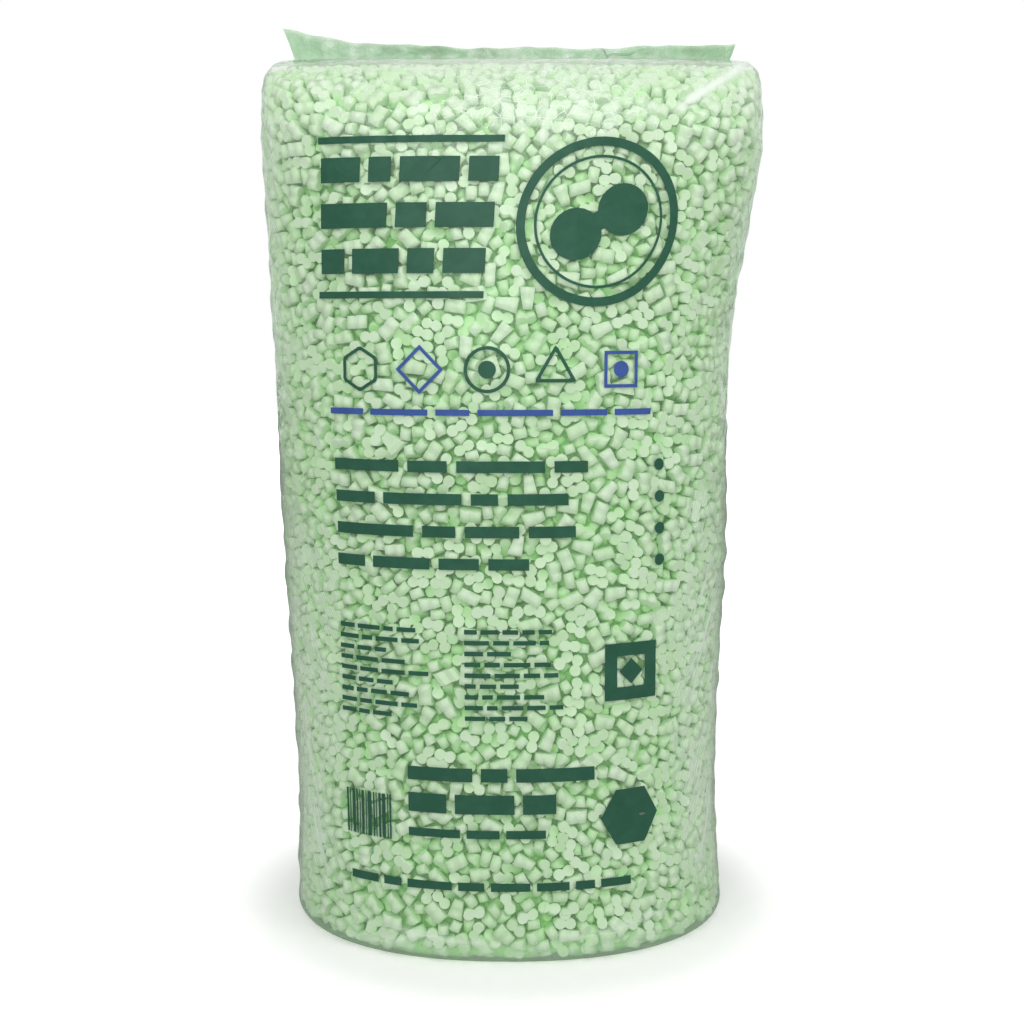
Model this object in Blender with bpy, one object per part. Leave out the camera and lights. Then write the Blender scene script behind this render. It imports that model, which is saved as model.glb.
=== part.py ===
"""A clear gusseted film bag of loose-fill packing peanuts, standing on its base.

Metres, +Z up, front towards -Y. The origin is on the floor, under the middle of the bag's box.
The film is one piece: a tube with side gussets, welded flat along a fin at the top.
The peanuts are figure-of-eight extrusions. Forty-two of them are pieces of their own, each seated in
its pocket in the heap, and the thousands behind them are the one lumpy solid loose_fill.
"""

import math
import random
from dataclasses import dataclass

import bmesh
import bpy
from mathutils import Matrix, Vector

# The top: height of the ridge under the fin, and how far below it the shoulder starts
RIDGE_HEIGHT = 1.387
ROOF_RISE = 0.147

# Bag body: full widths (X) and depths (Y) at five heights, and how far its middle leans towards +X there
BASE_HEIGHT, BASE_WIDTH, BASE_DEPTH, BASE_LEAN = 0.010, 0.716, 0.598, -0.004
WAIST_HEIGHT, WAIST_WIDTH, WAIST_DEPTH, WAIST_LEAN = 0.220, 0.701, 0.592, -0.009
BELLY_HEIGHT, BELLY_WIDTH, BELLY_DEPTH, BELLY_LEAN = 0.640, 0.731, 0.610, -0.012
COLLAR_HEIGHT, COLLAR_WIDTH, COLLAR_DEPTH, COLLAR_LEAN = 0.930, 0.742, 0.600, -0.016
SHOULDER_HEIGHT = RIDGE_HEIGHT - ROOF_RISE
SHOULDER_WIDTH, SHOULDER_DEPTH, SHOULDER_LEAN = 0.794, 0.530, 0.000

# How square the sections are, in the body and at the ridge: 2 is an ellipse, and more is boxier
BODY_SQUARENESS = 2.2
ROOF_SQUARENESS = 4.0

# Rounded foot, the rounding at the ridge's ends, and the gussets that fold in under them
FOOT_RADIUS = 0.026
RIDGE_CORNER = 0.042
GUSSET_TUCK = 0.055
GUSSET_OPENING = 0.13
FOLD_OPENING = 0.22
GUSSET_CREASE = 0.004

# Film, and the welded fin: its height over the ridge, how far its corners stand up, and its ripple
FILM_THICKNESS = 0.0005
CAVITY_CLOSE = 0.001
SEAL_WIDTH = 0.726
FIN_HEIGHT = 0.022
FIN_LEFT_LIFT = 0.031
FIN_RIGHT_LIFT = 0.007
FIN_RIPPLE = 0.004
FIN_RIPPLE_LENGTH = 0.45

# Air vents punched through the back of the film
VENT_COUNT = 5
VENT_RADIUS = 0.003
VENT_PITCH = 0.110
VENT_HEIGHT = 1.150

# The heap of loose fill: its clearance to the film, the room under the ridge, and the relief of its lumps
REST_GAP = 0.0003
HEAP_INSET = 0.010
HEAP_HEADROOM = 0.045
HEAP_RIDGE = 0.024
HEAP_LUMP = 0.0045
HEAP_SEED = 3

# One peanut: two lobes joined by a filleted web, extruded and cut at a slant
LOBE_RADIUS = 0.009
LOBE_SPACING = 0.0172
WEB_FILLET = 0.004
PEANUT_LENGTH = 0.021
PEANUT_SLANT = 0.35
PEANUT_COUNT = 42
PEANUT_SEED = 5
PEANUT_INSET = 0.013
PEANUT_OVER_FLOOR = 0.085
PEANUT_UNDER_SHOULDER = 0.025

# How finely the round forms are divided, and the step over which a tangent is taken
TANGENT_STEP = 0.01
FILM_COLUMNS = 32
FILM_BODY_RINGS = 8
FILM_ROOF_STEPS = 6
HEAP_COLUMNS = 52
HEAP_BODY_RINGS = 28
HEAP_ROOF_STEPS = 7
LOBE_STEPS = 6
VENT_SIDES = 8

HEIGHTS = (BASE_HEIGHT, WAIST_HEIGHT, BELLY_HEIGHT, COLLAR_HEIGHT, SHOULDER_HEIGHT)
WIDTHS = (BASE_WIDTH, WAIST_WIDTH, BELLY_WIDTH, COLLAR_WIDTH, SHOULDER_WIDTH)
DEPTHS = (BASE_DEPTH, WAIST_DEPTH, BELLY_DEPTH, COLLAR_DEPTH, SHOULDER_DEPTH)
LEANS = (BASE_LEAN, WAIST_LEAN, BELLY_LEAN, COLLAR_LEAN, SHOULDER_LEAN)


def clear_scene():
    """Removes the objects that the file opened with."""
    for obj in list(bpy.data.objects):
        bpy.data.objects.remove(obj)


def plain_material(name, colour, roughness, alpha=1.0):
    """A Principled material of one colour."""
    material = bpy.data.materials.new(name)
    material.use_nodes = True
    shader = material.node_tree.nodes["Principled BSDF"]
    shader.inputs["Base Color"].default_value = (*colour, 1.0)
    shader.inputs["Roughness"].default_value = roughness
    shader.inputs["Metallic"].default_value = 0.0
    shader.inputs["Alpha"].default_value = alpha
    return material


def add_object(name, bm, material=None, smooth=False):
    """Turns a bmesh into a named object in the scene."""
    bmesh.ops.recalc_face_normals(bm, faces=bm.faces[:])
    mesh = bpy.data.meshes.new(name)
    bm.to_mesh(mesh)
    bm.free()
    if material:
        mesh.materials.append(material)
    if smooth:
        mesh.shade_smooth()
        mesh.set_sharp_from_angle(angle=math.radians(40))
    obj = bpy.data.objects.new(name, mesh)
    bpy.context.scene.collection.objects.link(obj)
    return obj


def hide_cutter(cutter):
    """Keeps a cutter in the file, out of renders and of the build."""
    cutter.hide_render = True
    cutter.display_type = "WIRE"


def cut(target, cutter):
    """Subtracts the cutter from the target with a live Boolean."""
    boolean = target.modifiers.new(cutter.name, "BOOLEAN")
    boolean.operation = "DIFFERENCE"
    boolean.solver = "EXACT"
    boolean.object = cutter
    hide_cutter(cutter)


# Form of the bag

def along(values, height):
    """A smooth curve through one value at each of HEIGHTS: a cubic with the slopes of its neighbours."""
    last = len(HEIGHTS) - 1
    low = max(0, min(last - 1, sum(h <= height for h in HEIGHTS) - 1))
    high = low + 1
    span = HEIGHTS[high] - HEIGHTS[low]

    def slope(k):
        before, after = max(k - 1, 0), min(k + 1, last)
        return (values[after] - values[before]) / (HEIGHTS[after] - HEIGHTS[before])

    t = min(1.0, max(0.0, (height - HEIGHTS[low]) / span))
    return (
        (1 + 2 * t) * (1 - t) ** 2 * values[low]
        + t * (1 - t) ** 2 * span * slope(low)
        + t * t * (3 - 2 * t) * values[high]
        + t * t * (t - 1) * span * slope(high)
    )


def roof_share(height):
    """0 at the shoulder and below, 1 at the ridge."""
    return max(0.0, min(1.0, (height - SHOULDER_HEIGHT) / (RIDGE_HEIGHT - SHOULDER_HEIGHT)))


def squareness(height):
    """How boxy the section is: an ellipse up to the collar, ever squarer from there to the ridge."""
    rise = max(0.0, min(1.0, (height - COLLAR_HEIGHT) / (RIDGE_HEIGHT - COLLAR_HEIGHT)))
    return BODY_SQUARENESS + (ROOF_SQUARENESS - BODY_SQUARENESS) * rise**2


def quarter_round(radius, reach):
    """How far a corner of this radius has turned in, reach past the start of its curve."""
    return radius - math.sqrt(max(0.0, radius**2 - min(radius, max(0.0, reach)) ** 2))


@dataclass(frozen=True)
class Form:
    """One of the nested forms: how far inside the film's skin it lies and how it closes at the top."""

    inset: float
    top: float
    ridge_half_depth: float
    gusset_opening: float

    def level(self, height):
        """How high this form has the ring that the film's skin has at the given height."""
        if height < FOOT_RADIUS:
            return self.inset + height * (FOOT_RADIUS - self.inset) / FOOT_RADIUS
        return height - roof_share(height) * (RIDGE_HEIGHT - self.top)

    def half_sizes(self, height):
        """Half width and half depth of the section."""
        foot = quarter_round(FOOT_RADIUS, FOOT_RADIUS - height)
        corner = quarter_round(RIDGE_CORNER, height - (RIDGE_HEIGHT - RIDGE_CORNER))
        roof = math.sqrt(max(0.0, 1.0 - roof_share(height) ** 2))
        half_width = along(WIDTHS, height) / 2 - foot - corner - self.inset
        half_depth = (along(DEPTHS, height) / 2 - foot - self.inset) * roof
        return half_width, max(self.ridge_half_depth, half_depth)

    def point(self, height, angle):
        """The section's point at an angle from +X, with the gusset folded in where the roof closes."""
        z = self.level(height)
        half_width, half_depth = self.half_sizes(height)
        power = 2 / squareness(z)
        cosine, sine = math.cos(angle), math.sin(angle)
        across = math.copysign(abs(cosine) ** power, cosine)
        tuck = gusset_tuck(height) * math.exp(-((sine / self.gusset_opening) ** 2))
        x = along(LEANS, height) + half_width * across - math.copysign(tuck, cosine)
        y = half_depth * math.copysign(abs(sine) ** power, sine)
        return Vector((x, y, z))

    def rings(self, heights, columns, crease=0.0):
        """Rings of points, the corners between panel and gusset drawn out by the crease."""
        rings = []
        for height in heights:
            ring = [self.point(height, math.tau * column / columns) for column in range(columns)]
            for column, point in enumerate(ring):
                if is_crease(column, columns) and roof_share(height) == 0:
                    outward = Vector((point.x, point.y, 0)).normalized()
                    point += outward * crease * min(1.0, height / FOOT_RADIUS)
            rings.append(ring)
        return rings

    def closing_ring(self, columns):
        """The narrow ring that closes a form under the ridge, clear of both folded gussets."""
        half_width = self.half_sizes(RIDGE_HEIGHT)[0] - GUSSET_TUCK
        middle = along(LEANS, RIDGE_HEIGHT)
        turns = [math.tau * column / columns for column in range(columns)]
        return [
            Vector(
                (
                    middle + half_width * math.cos(turn),
                    self.ridge_half_depth * math.sin(turn),
                    self.top,
                )
            )
            for turn in turns
        ]


SKIN = Form(0.0, RIDGE_HEIGHT, FILM_THICKNESS, GUSSET_OPENING)
CAVITY = Form(FILM_THICKNESS, RIDGE_HEIGHT - CAVITY_CLOSE, CAVITY_CLOSE, FOLD_OPENING)
HEAP = Form(HEAP_INSET, RIDGE_HEIGHT - HEAP_HEADROOM, HEAP_RIDGE, FOLD_OPENING)
PEANUT_BED = Form(PEANUT_INSET, RIDGE_HEIGHT - HEAP_HEADROOM, HEAP_RIDGE, FOLD_OPENING)


def gusset_tuck(height):
    """How far the middle of each gusset is folded in: nothing at the shoulder, all of it at the ridge."""
    share = roof_share(height)
    return GUSSET_TUCK * share * share * (3 - 2 * share)


def ring_heights(body_rings, roof_steps):
    """Heights of the skin's rings, closer together round the foot and over the roof."""
    foot_steps = 3
    foot = [
        FOOT_RADIUS * (1 - math.cos(math.pi / 2 * k / foot_steps)) for k in range(foot_steps)
    ]
    body = [
        FOOT_RADIUS + (SHOULDER_HEIGHT - FOOT_RADIUS) * k / body_rings for k in range(body_rings)
    ]
    roof = [
        SHOULDER_HEIGHT + (RIDGE_HEIGHT - SHOULDER_HEIGHT) * math.sin(math.pi / 2 * k / roof_steps)
        for k in range(roof_steps + 1)
    ]
    return foot + body + roof


def is_crease(column, columns):
    """True for the four columns nearest to where the front and back panels meet the gussets."""
    crease_turn = 3 / 32
    quarter = column / columns % 0.5
    return min(abs(quarter - crease_turn), abs(0.5 - quarter - crease_turn)) < 0.5 / columns


def fin_rings(columns):
    """Rings of the welded fin over the ridge: two film layers thick, rippled, its corners standing up."""
    rings = []
    for share in (0.5, 1.0):
        ring = []
        for column in range(columns):
            angle = math.tau * column / columns
            across = math.copysign(abs(math.cos(angle)) ** (2 / ROOF_SQUARENESS), math.cos(angle))
            x = along(LEANS, SHOULDER_HEIGHT) + SEAL_WIDTH / 2 * across
            lift = FIN_LEFT_LIFT if across < 0 else FIN_RIGHT_LIFT
            swing = FIN_RIPPLE if share == 1.0 else 0.0
            ripple = swing * math.sin(math.tau * x / FIN_RIPPLE_LENGTH)
            z = RIDGE_HEIGHT + share * (FIN_HEIGHT + lift * abs(across) ** 3)
            side = max(-1.0, min(1.0, 4 * math.sin(angle)))
            ring.append(Vector((x, ripple + FILM_THICKNESS * side, z)))
        rings.append(ring)
    return rings


def add_loft(bm, rings):
    """Skins a stack of rings, with a flat face at the bottom and the top closed across its width.

    The front's triangles mirror the back's, so that the fin's two sides stay parallel."""
    columns = len(rings[0])
    rows = [[bm.verts.new(point) for point in ring] for ring in rings]
    for lower, upper in zip(rows, rows[1:]):
        for k in range(columns):
            after = (k + 1) % columns
            if k < columns // 2:
                bm.faces.new((lower[k], lower[after], upper[after]))
                bm.faces.new((lower[k], upper[after], upper[k]))
            else:
                bm.faces.new((lower[k], lower[after], upper[k]))
                bm.faces.new((lower[after], upper[after], upper[k]))
    bm.faces.new(rows[0][::-1])
    top = rows[-1]
    for k in range(columns // 2):
        corners = [top[k], top[k + 1], top[columns - k - 1], top[(columns - k) % columns]]
        bm.faces.new(list(dict.fromkeys(corners)))


# Film

def make_vent_cutter():
    """Round punches through the film's back wall, in a row below the shoulder."""
    bm = bmesh.new()
    back = along(DEPTHS, VENT_HEIGHT) / 2
    for k in range(VENT_COUNT):
        x = (k - (VENT_COUNT - 1) / 2) * VENT_PITCH
        place = Matrix.Translation((x, back, VENT_HEIGHT)) @ Matrix.Rotation(math.pi / 2, 4, "X")
        bmesh.ops.create_cone(
            bm,
            cap_ends=True,
            segments=VENT_SIDES,
            radius1=VENT_RADIUS,
            radius2=VENT_RADIUS,
            depth=back,
            matrix=place,
        )
    return add_object("vent_cutter", bm)


def make_film_bag(material):
    """The film: an outer skin up to the fin's edge, the hollow inside it, and vents that open the hollow."""
    heights = ring_heights(FILM_BODY_RINGS, FILM_ROOF_STEPS)
    outer = SKIN.rings(heights, FILM_COLUMNS, crease=GUSSET_CREASE)
    inner = CAVITY.rings(heights[:-1], FILM_COLUMNS, crease=GUSSET_CREASE)
    inner.append(CAVITY.closing_ring(FILM_COLUMNS))
    bm = bmesh.new()
    add_loft(bm, outer + fin_rings(FILM_COLUMNS))
    outside = set(bm.faces)
    add_loft(bm, inner)
    bmesh.ops.reverse_faces(bm, faces=[face for face in bm.faces if face not in outside])
    mesh = bpy.data.meshes.new("film_bag")
    bm.to_mesh(mesh)
    bm.free()
    mesh.materials.append(material)
    mesh.shade_smooth()
    mesh.set_sharp_from_angle(angle=math.radians(50))
    film = bpy.data.objects.new("film_bag", mesh)
    bpy.context.scene.collection.objects.link(film)
    cut(film, make_vent_cutter())
    return film


# Peanuts

def peanut_outline(clearance):
    """The figure of eight: two lobe arcs joined by fillets, grown outwards by a clearance."""
    radius, fillet = LOBE_RADIUS + clearance, WEB_FILLET - clearance
    centre = LOBE_SPACING / 2
    rise = math.sqrt((radius + fillet) ** 2 - centre**2)
    start = math.pi - math.atan2(rise, centre)
    arc = [start - 2 * start * k / LOBE_STEPS for k in range(LOBE_STEPS + 1)]
    lobe = [(centre + radius * math.cos(a), radius * math.sin(a)) for a in arc]
    waist = (0.0, fillet - rise)
    half = lobe + [waist]
    return half + [(-x, -y) for x, y in half]


def add_peanut(bm, place, slants, clearance=0.0):
    """One peanut extruded along its own Z and cut at a slant at each end, in place."""
    half_length = PEANUT_LENGTH / 2 + clearance
    outline = peanut_outline(clearance)
    base = [bm.verts.new((x, y, -half_length + slants[0] * x)) for x, y in outline]
    face = bm.faces.new(base)
    grown = bmesh.ops.extrude_face_region(bm, geom=[face])["geom"]
    tops = [item for item in grown if isinstance(item, bmesh.types.BMVert)]
    for vert in tops:
        vert.co.z = half_length + slants[1] * vert.co.x
    bmesh.ops.transform(bm, matrix=place, verts=base + tops)


def under_film(height, angle):
    """The peanuts' bed at a height, on the straight line that the film takes between its own two rings there."""
    heights = ring_heights(FILM_BODY_RINGS, FILM_ROOF_STEPS)
    lower = max(level for level in heights if level <= height)
    upper = min(level for level in heights if level > height)
    share = (height - lower) / (upper - lower)
    return PEANUT_BED.point(lower, angle).lerp(PEANUT_BED.point(upper, angle), share)


def peanut_places():
    """Where each separate peanut lies: spread round the heap, half sunk into its skin, long side along it."""
    chance = random.Random(PEANUT_SEED)
    golden_turn = math.pi * (3 - math.sqrt(5))
    places = []
    for k in range(PEANUT_COUNT):
        share = (k + 0.5) / PEANUT_COUNT
        highest = SHOULDER_HEIGHT - PEANUT_UNDER_SHOULDER
        height = PEANUT_OVER_FLOOR + (highest - PEANUT_OVER_FLOOR) * share
        angle = golden_turn * k - math.pi / 2
        point = under_film(height, angle)
        around = under_film(height, angle + TANGENT_STEP) - point
        up = under_film(height + TANGENT_STEP, angle) - point
        outward = around.cross(up).normalized()
        side = around.normalized()
        frame = Matrix((side, outward.cross(side), outward)).transposed().to_4x4()
        spin = Matrix.Rotation(chance.uniform(0, math.pi), 4, "Z")
        lie_on_side = Matrix.Rotation(math.pi / 2, 4, "X") if k % 3 else Matrix.Identity(4)
        slants = [chance.uniform(-PEANUT_SLANT, PEANUT_SLANT) if k % 3 else 0.0 for _ in range(2)]
        places.append((Matrix.Translation(point) @ frame @ spin @ lie_on_side, slants))
    return places


def make_peanuts(places, material):
    """The separate peanuts, each a node of its own."""
    for number, (place, slants) in enumerate(places, start=1):
        bm = bmesh.new()
        add_peanut(bm, Matrix.Identity(4), slants)
        peanut = add_object(f"peanut_{number:02d}", bm, material, smooth=True)
        peanut.matrix_world = place


# Heap

def make_pocket_cutter(places):
    """The separate peanuts grown by the rest gap, which leaves each its seat in the heap."""
    bm = bmesh.new()
    for place, slants in places:
        add_peanut(bm, place, slants, clearance=REST_GAP)
    return add_object("pocket_cutter", bm)


def make_loose_fill(places, material):
    """The heap: the bag's form inset from the film, its skin in lumps the size of peanuts."""
    chance = random.Random(HEAP_SEED)
    heights = ring_heights(HEAP_BODY_RINGS, HEAP_ROOF_STEPS)
    rings = HEAP.rings(heights[:-1], HEAP_COLUMNS) + [HEAP.closing_ring(HEAP_COLUMNS)]
    floor = FILM_THICKNESS + REST_GAP
    for row, ring in enumerate(rings):
        relief = HEAP_LUMP * (1 - roof_share(min(heights[row], HEAP.top)))
        for point in ring:
            lump = chance.uniform(-relief, relief)
            outward = Vector((point.x, point.y, 0)).normalized()
            point += outward * lump
            if row:
                point.z += lump / 2
            else:
                point.z = floor
    bm = bmesh.new()
    add_loft(bm, rings)
    heap = add_object("loose_fill", bm, material)
    cut(heap, make_pocket_cutter(places))
    return heap


def main():
    """Builds the filled bag."""
    clear_scene()
    film = plain_material("clear_film", (0.72, 0.86, 0.76), 0.15, alpha=0.30)
    foam = plain_material("green_foam", (0.46, 0.70, 0.39), 0.60)
    fill = plain_material("green_fill", (0.36, 0.60, 0.29), 0.70)
    places = peanut_places()
    make_film_bag(film)
    make_loose_fill(places, fill)
    make_peanuts(places, foam)


main()
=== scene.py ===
"""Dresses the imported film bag: film, the loose fill behind it, print, finishes, floor, lamps and camera."""

import logging
import math
from collections.abc import Callable, Iterable
from dataclasses import dataclass, field
from enum import Enum

import bmesh
import bpy
import numpy as np
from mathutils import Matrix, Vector
from mathutils.bvhtree import BVHTree


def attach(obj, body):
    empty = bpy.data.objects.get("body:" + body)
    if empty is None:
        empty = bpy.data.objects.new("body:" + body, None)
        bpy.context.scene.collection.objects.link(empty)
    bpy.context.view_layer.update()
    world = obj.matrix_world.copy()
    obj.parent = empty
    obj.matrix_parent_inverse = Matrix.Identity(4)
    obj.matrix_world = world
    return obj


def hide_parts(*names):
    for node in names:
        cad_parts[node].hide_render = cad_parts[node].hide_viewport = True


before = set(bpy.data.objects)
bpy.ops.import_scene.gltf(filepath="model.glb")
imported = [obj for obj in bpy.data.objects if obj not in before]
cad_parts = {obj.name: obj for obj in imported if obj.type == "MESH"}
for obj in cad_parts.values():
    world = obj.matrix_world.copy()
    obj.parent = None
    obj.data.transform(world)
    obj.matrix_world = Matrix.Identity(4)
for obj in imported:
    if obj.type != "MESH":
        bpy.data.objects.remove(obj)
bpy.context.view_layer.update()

log = logging.getLogger("bag")

Grid = np.ndarray
Triple = tuple[float, float, float]
Socket = bpy.types.NodeSocket
Warp = Callable[[Vector], tuple[float, float]]

WHITE = (1.0, 1.0, 1.0, 1.0)


# Form of the bag, as the CAD solids have it


@dataclass(frozen=True)
class BagForm:
    """The film's outside: a stack of rounded sections from the foot to the welded fin. Metres."""

    heights: tuple[float, ...] = (0.010, 0.220, 0.640, 0.930, 1.240)
    widths: tuple[float, ...] = (0.716, 0.701, 0.731, 0.742, 0.794)
    depths: tuple[float, ...] = (0.598, 0.592, 0.610, 0.600, 0.530)
    leans: tuple[float, ...] = (-0.004, -0.009, -0.012, -0.016, 0.000)
    collar_station: int = 3
    roof_rise: float = 0.147
    body_squareness: float = 2.2
    roof_squareness: float = 4.0
    foot_radius: float = 0.026
    ridge_corner: float = 0.042
    ridge_half_depth: float = 0.0005
    tuck: float = 0.055
    gusset_opening: float = 0.13
    quarter_points: int = 221
    fin_height: float = 0.022
    fin_half_width: float = 0.363
    fin_left_lift: float = 0.031
    fin_right_lift: float = 0.007
    fin_left_flare: float = 0.013
    fin_right_flare: float = 0.002
    fin_ripples: tuple[Triple, ...] = ((0.004, 0.45, 0.0), (0.0022, 0.083, 1.3), (0.0012, 0.037, 0.0))
    fin_edge_waves: tuple[Triple, ...] = ((0.0016, 0.19, 0.4), (0.0008, 0.061, 0.0))

    @property
    def shoulder(self) -> float:
        """Height of the shoulder, where the roof starts."""
        return self.heights[-1]

    @property
    def ridge(self) -> float:
        """Height of the ridge, where the fin starts."""
        return self.shoulder + self.roof_rise

    def along(self, values: tuple[float, ...], height: Grid) -> Grid:
        """A smooth curve through one value for each station.

        Args:
            values: The value at each of the heights.
            height: Heights to read it at.

        Returns:
            The values there: a cubic with the slopes of its neighbours.
        """
        h, v = np.asarray(self.heights), np.asarray(values)
        slope = np.empty(len(h))
        slope[1:-1] = (v[2:] - v[:-2]) / (h[2:] - h[:-2])
        slope[0] = (v[1] - v[0]) / (h[1] - h[0])
        slope[-1] = (v[-1] - v[-2]) / (h[-1] - h[-2])
        low = np.clip(np.searchsorted(h, height, side="right") - 1, 0, len(h) - 2)
        span = h[low + 1] - h[low]
        t = np.clip((height - h[low]) / span, 0.0, 1.0)
        return (
            (1 + 2 * t) * (1 - t) ** 2 * v[low]
            + t * (1 - t) ** 2 * span * slope[low]
            + t * t * (3 - 2 * t) * v[low + 1]
            + t * t * (t - 1) * span * slope[low + 1]
        )

    def sizes(self, height: Grid) -> tuple[Grid, Grid, Grid, Grid, Grid]:
        """The section's measures.

        Args:
            height: Heights of the sections.

        Returns:
            Half width, half depth, squareness, middle in X, and how far the gusset is tucked.
        """
        height = np.asarray(height, float)
        foot = quarter_round(self.foot_radius, self.foot_radius - height)
        corner = quarter_round(self.ridge_corner, height - (self.ridge - self.ridge_corner))
        share = np.clip((height - self.shoulder) / self.roof_rise, 0.0, 1.0)
        half_width = self.along(self.widths, height) / 2 - foot - corner
        half_depth = (self.along(self.depths, height) / 2 - foot) * np.sqrt(1 - share**2)
        tuck = self.tuck * share * share * (3 - 2 * share)
        collar = self.heights[self.collar_station]
        rise = np.clip((height - collar) / (self.ridge - collar), 0.0, 1.0)
        power = self.body_squareness + (self.roof_squareness - self.body_squareness) * rise**2
        return half_width, np.maximum(self.ridge_half_depth, half_depth), power, self.along(self.leans, height), tuck

    def ring(self, half_width: float, half_depth: float, power: float, tuck: float) -> Grid:
        """A section as a fine closed line, from the middle of the back round the left to the back again.

        Args:
            half_width: Half of its width.
            half_depth: Half of its depth.
            power: Its squareness.
            tuck: How far the gussets are folded in.

        Returns:
            Points in X and Y, one row each, the last one on the first.
        """
        quarter = np.linspace(0.0, 1.0, self.quarter_points)
        quarter = quarter * quarter * (3 - 2 * quarter) * math.pi / 2
        turns = [quarter[:-1] + math.pi / 2 * k for k in range(1, 5)] + [[math.pi * 2.5]]
        angle = np.concatenate(turns)
        cosine, sine = np.cos(angle), np.sin(angle)
        fold = tuck * np.exp(-((sine / self.gusset_opening) ** 2))
        x = half_width * signed_power(cosine, 2 / power) - np.sign(cosine) * fold
        return np.stack([x, half_depth * signed_power(sine, 2 / power)], axis=1)

    def field(self, points: Grid) -> Grid:
        """1 on the film, less inside it and more outside.

        Args:
            points: Places, one row each.

        Returns:
            One number a place.
        """
        a, b, n, lean, tuck = self.sizes(points[:, 2])
        deep = (np.abs(points[:, 1]) / b) ** n
        fold = tuck * np.exp(-deep / self.gusset_opening**2)
        wide = ((np.abs(points[:, 0] - lean) + fold) / a) ** n
        return (wide + deep) ** (1 / n)


def signed_power(value: Grid, power: Grid | float) -> Grid:
    """A power of the size of each value, with the value's own sign."""
    return np.sign(value) * np.abs(value) ** power


def quarter_round(radius: float, reach: Grid) -> Grid:
    """How far a corner of this radius has turned in, reach past the start of its curve."""
    return radius - np.sqrt(np.maximum(0.0, radius**2 - np.clip(reach, 0.0, radius) ** 2))


def smooth_step(value: Grid, low: float, high: float) -> Grid:
    """0 below low, 1 above high, and an S-curve between them."""
    t = np.clip((value - low) / (high - low), 0.0, 1.0)
    return t * t * (3 - 2 * t)


def plateau(value: Grid, low: float, full: float, end: float, gone: float) -> Grid:
    """1 from full to end, and smoothly down to 0 at low and at gone."""
    return smooth_step(value, low, full) * (1 - smooth_step(value, end, gone))


def rumple(points: Grid, lengths: Triple, seed: int, waves: int = 14) -> Grid:
    """Smooth, irregular waves in space.

    Args:
        points: Places, one row each.
        lengths: Rough wavelength along X, Y and Z.
        seed: Fixes the pattern.
        waves: How many waves are added up.

    Returns:
        One number a place, mostly between -1 and 1.
    """
    random = np.random.default_rng(seed)
    total = np.zeros(len(points))
    for _ in range(waves):
        direction = random.normal(size=3)
        direction /= np.linalg.norm(direction)
        wave = direction / np.asarray(lengths) * random.uniform(0.6, 1.7)
        total += np.sin(points @ (wave * math.tau) + random.uniform(0, math.tau))
    return total / math.sqrt(waves / 2) * 0.6


def sway(x: Grid, waves: Iterable[Triple]) -> Grid:
    """The sum of sine waves along X, each with its height, its length and its start in radians."""
    return sum(high * np.sin(math.tau * x / length + start) for high, length, start in waves)


# Shader building


class NodeBook:
    """Adds nodes to a tree and joins them."""

    def __init__(self, tree: bpy.types.NodeTree) -> None:
        """Starts on an empty tree."""
        self.tree = tree
        tree.nodes.clear()

    def add(self, kind: str, inputs: dict[str | int, object] | None = None, **settings: object) -> bpy.types.Node:
        """Adds one node.

        Args:
            kind: The node's type.
            inputs: Values or sockets for its inputs, by name or number.
            **settings: Properties of the node itself.

        Returns:
            The new node.
        """
        node = self.tree.nodes.new(kind)
        for name, value in settings.items():
            setattr(node, name, value)
        for name, value in (inputs or {}).items():
            if isinstance(value, Socket):
                self.tree.links.new(value, node.inputs[name])
            else:
                node.inputs[name].default_value = value
        return node

    def math(self, operation: str, *values: object, clamp: bool = False) -> Socket:
        """Adds a Math node and returns its value."""
        return self.add("ShaderNodeMath", dict(enumerate(values)), operation=operation, use_clamp=clamp).outputs[0]

    def attribute(self, name: str) -> Socket:
        """Adds an Attribute node and returns its number."""
        return self.add("ShaderNodeAttribute", attribute_name=name).outputs["Fac"]

    def noise(self, vector: Socket, scale: float, detail: float = 2.0, rough: float = 0.5) -> Socket:
        """Adds a Noise texture and returns its value."""
        inputs = {"Vector": vector, "Scale": scale, "Detail": detail, "Roughness": rough}
        return self.add("ShaderNodeTexNoise", inputs).outputs["Fac"]

    def remap(self, value: Socket, low: float, high: float, to_low: float = 0.0, to_high: float = 1.0) -> Socket:
        """Adds a smooth Map Range from low..high to the two results."""
        inputs = {"Value": value, "From Min": low, "From Max": high, "To Min": to_low, "To Max": to_high}
        return self.add("ShaderNodeMapRange", inputs, interpolation_type="SMOOTHSTEP").outputs["Result"]

    def mix(self, share: Socket, first: Triple | Socket, second: Triple | Socket) -> Socket:
        """Adds a colour Mix node and returns its colour."""
        ends = [(*end, 1.0) if isinstance(end, tuple) else end for end in (first, second)]
        return self.add("ShaderNodeMix", {0: share, 6: ends[0], 7: ends[1]}, data_type="RGBA").outputs[2]

    def bump(self, height: Socket, distance: float) -> Socket:
        """Adds a Bump node and returns its normal."""
        return self.add("ShaderNodeBump", {"Height": height, "Distance": distance, "Strength": 1.0}).outputs[0]

    def coat(self, inputs: dict[str, object]) -> None:
        """Adds the Principled shader and joins it to the material's output."""
        shader = self.add("ShaderNodeBsdfPrincipled", inputs)
        self.add("ShaderNodeOutputMaterial", {"Surface": shader.outputs[0]})


def new_material(name: str) -> tuple[bpy.types.Material, NodeBook, Socket]:
    """Starts a material.

    Args:
        name: Its name.

    Returns:
        The material, its book and its Object coordinates.
    """
    made = bpy.data.materials.new(name)
    made.use_nodes = True
    book = NodeBook(made.node_tree)
    return made, book, book.add("ShaderNodeTexCoord").outputs["Object"]


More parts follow.
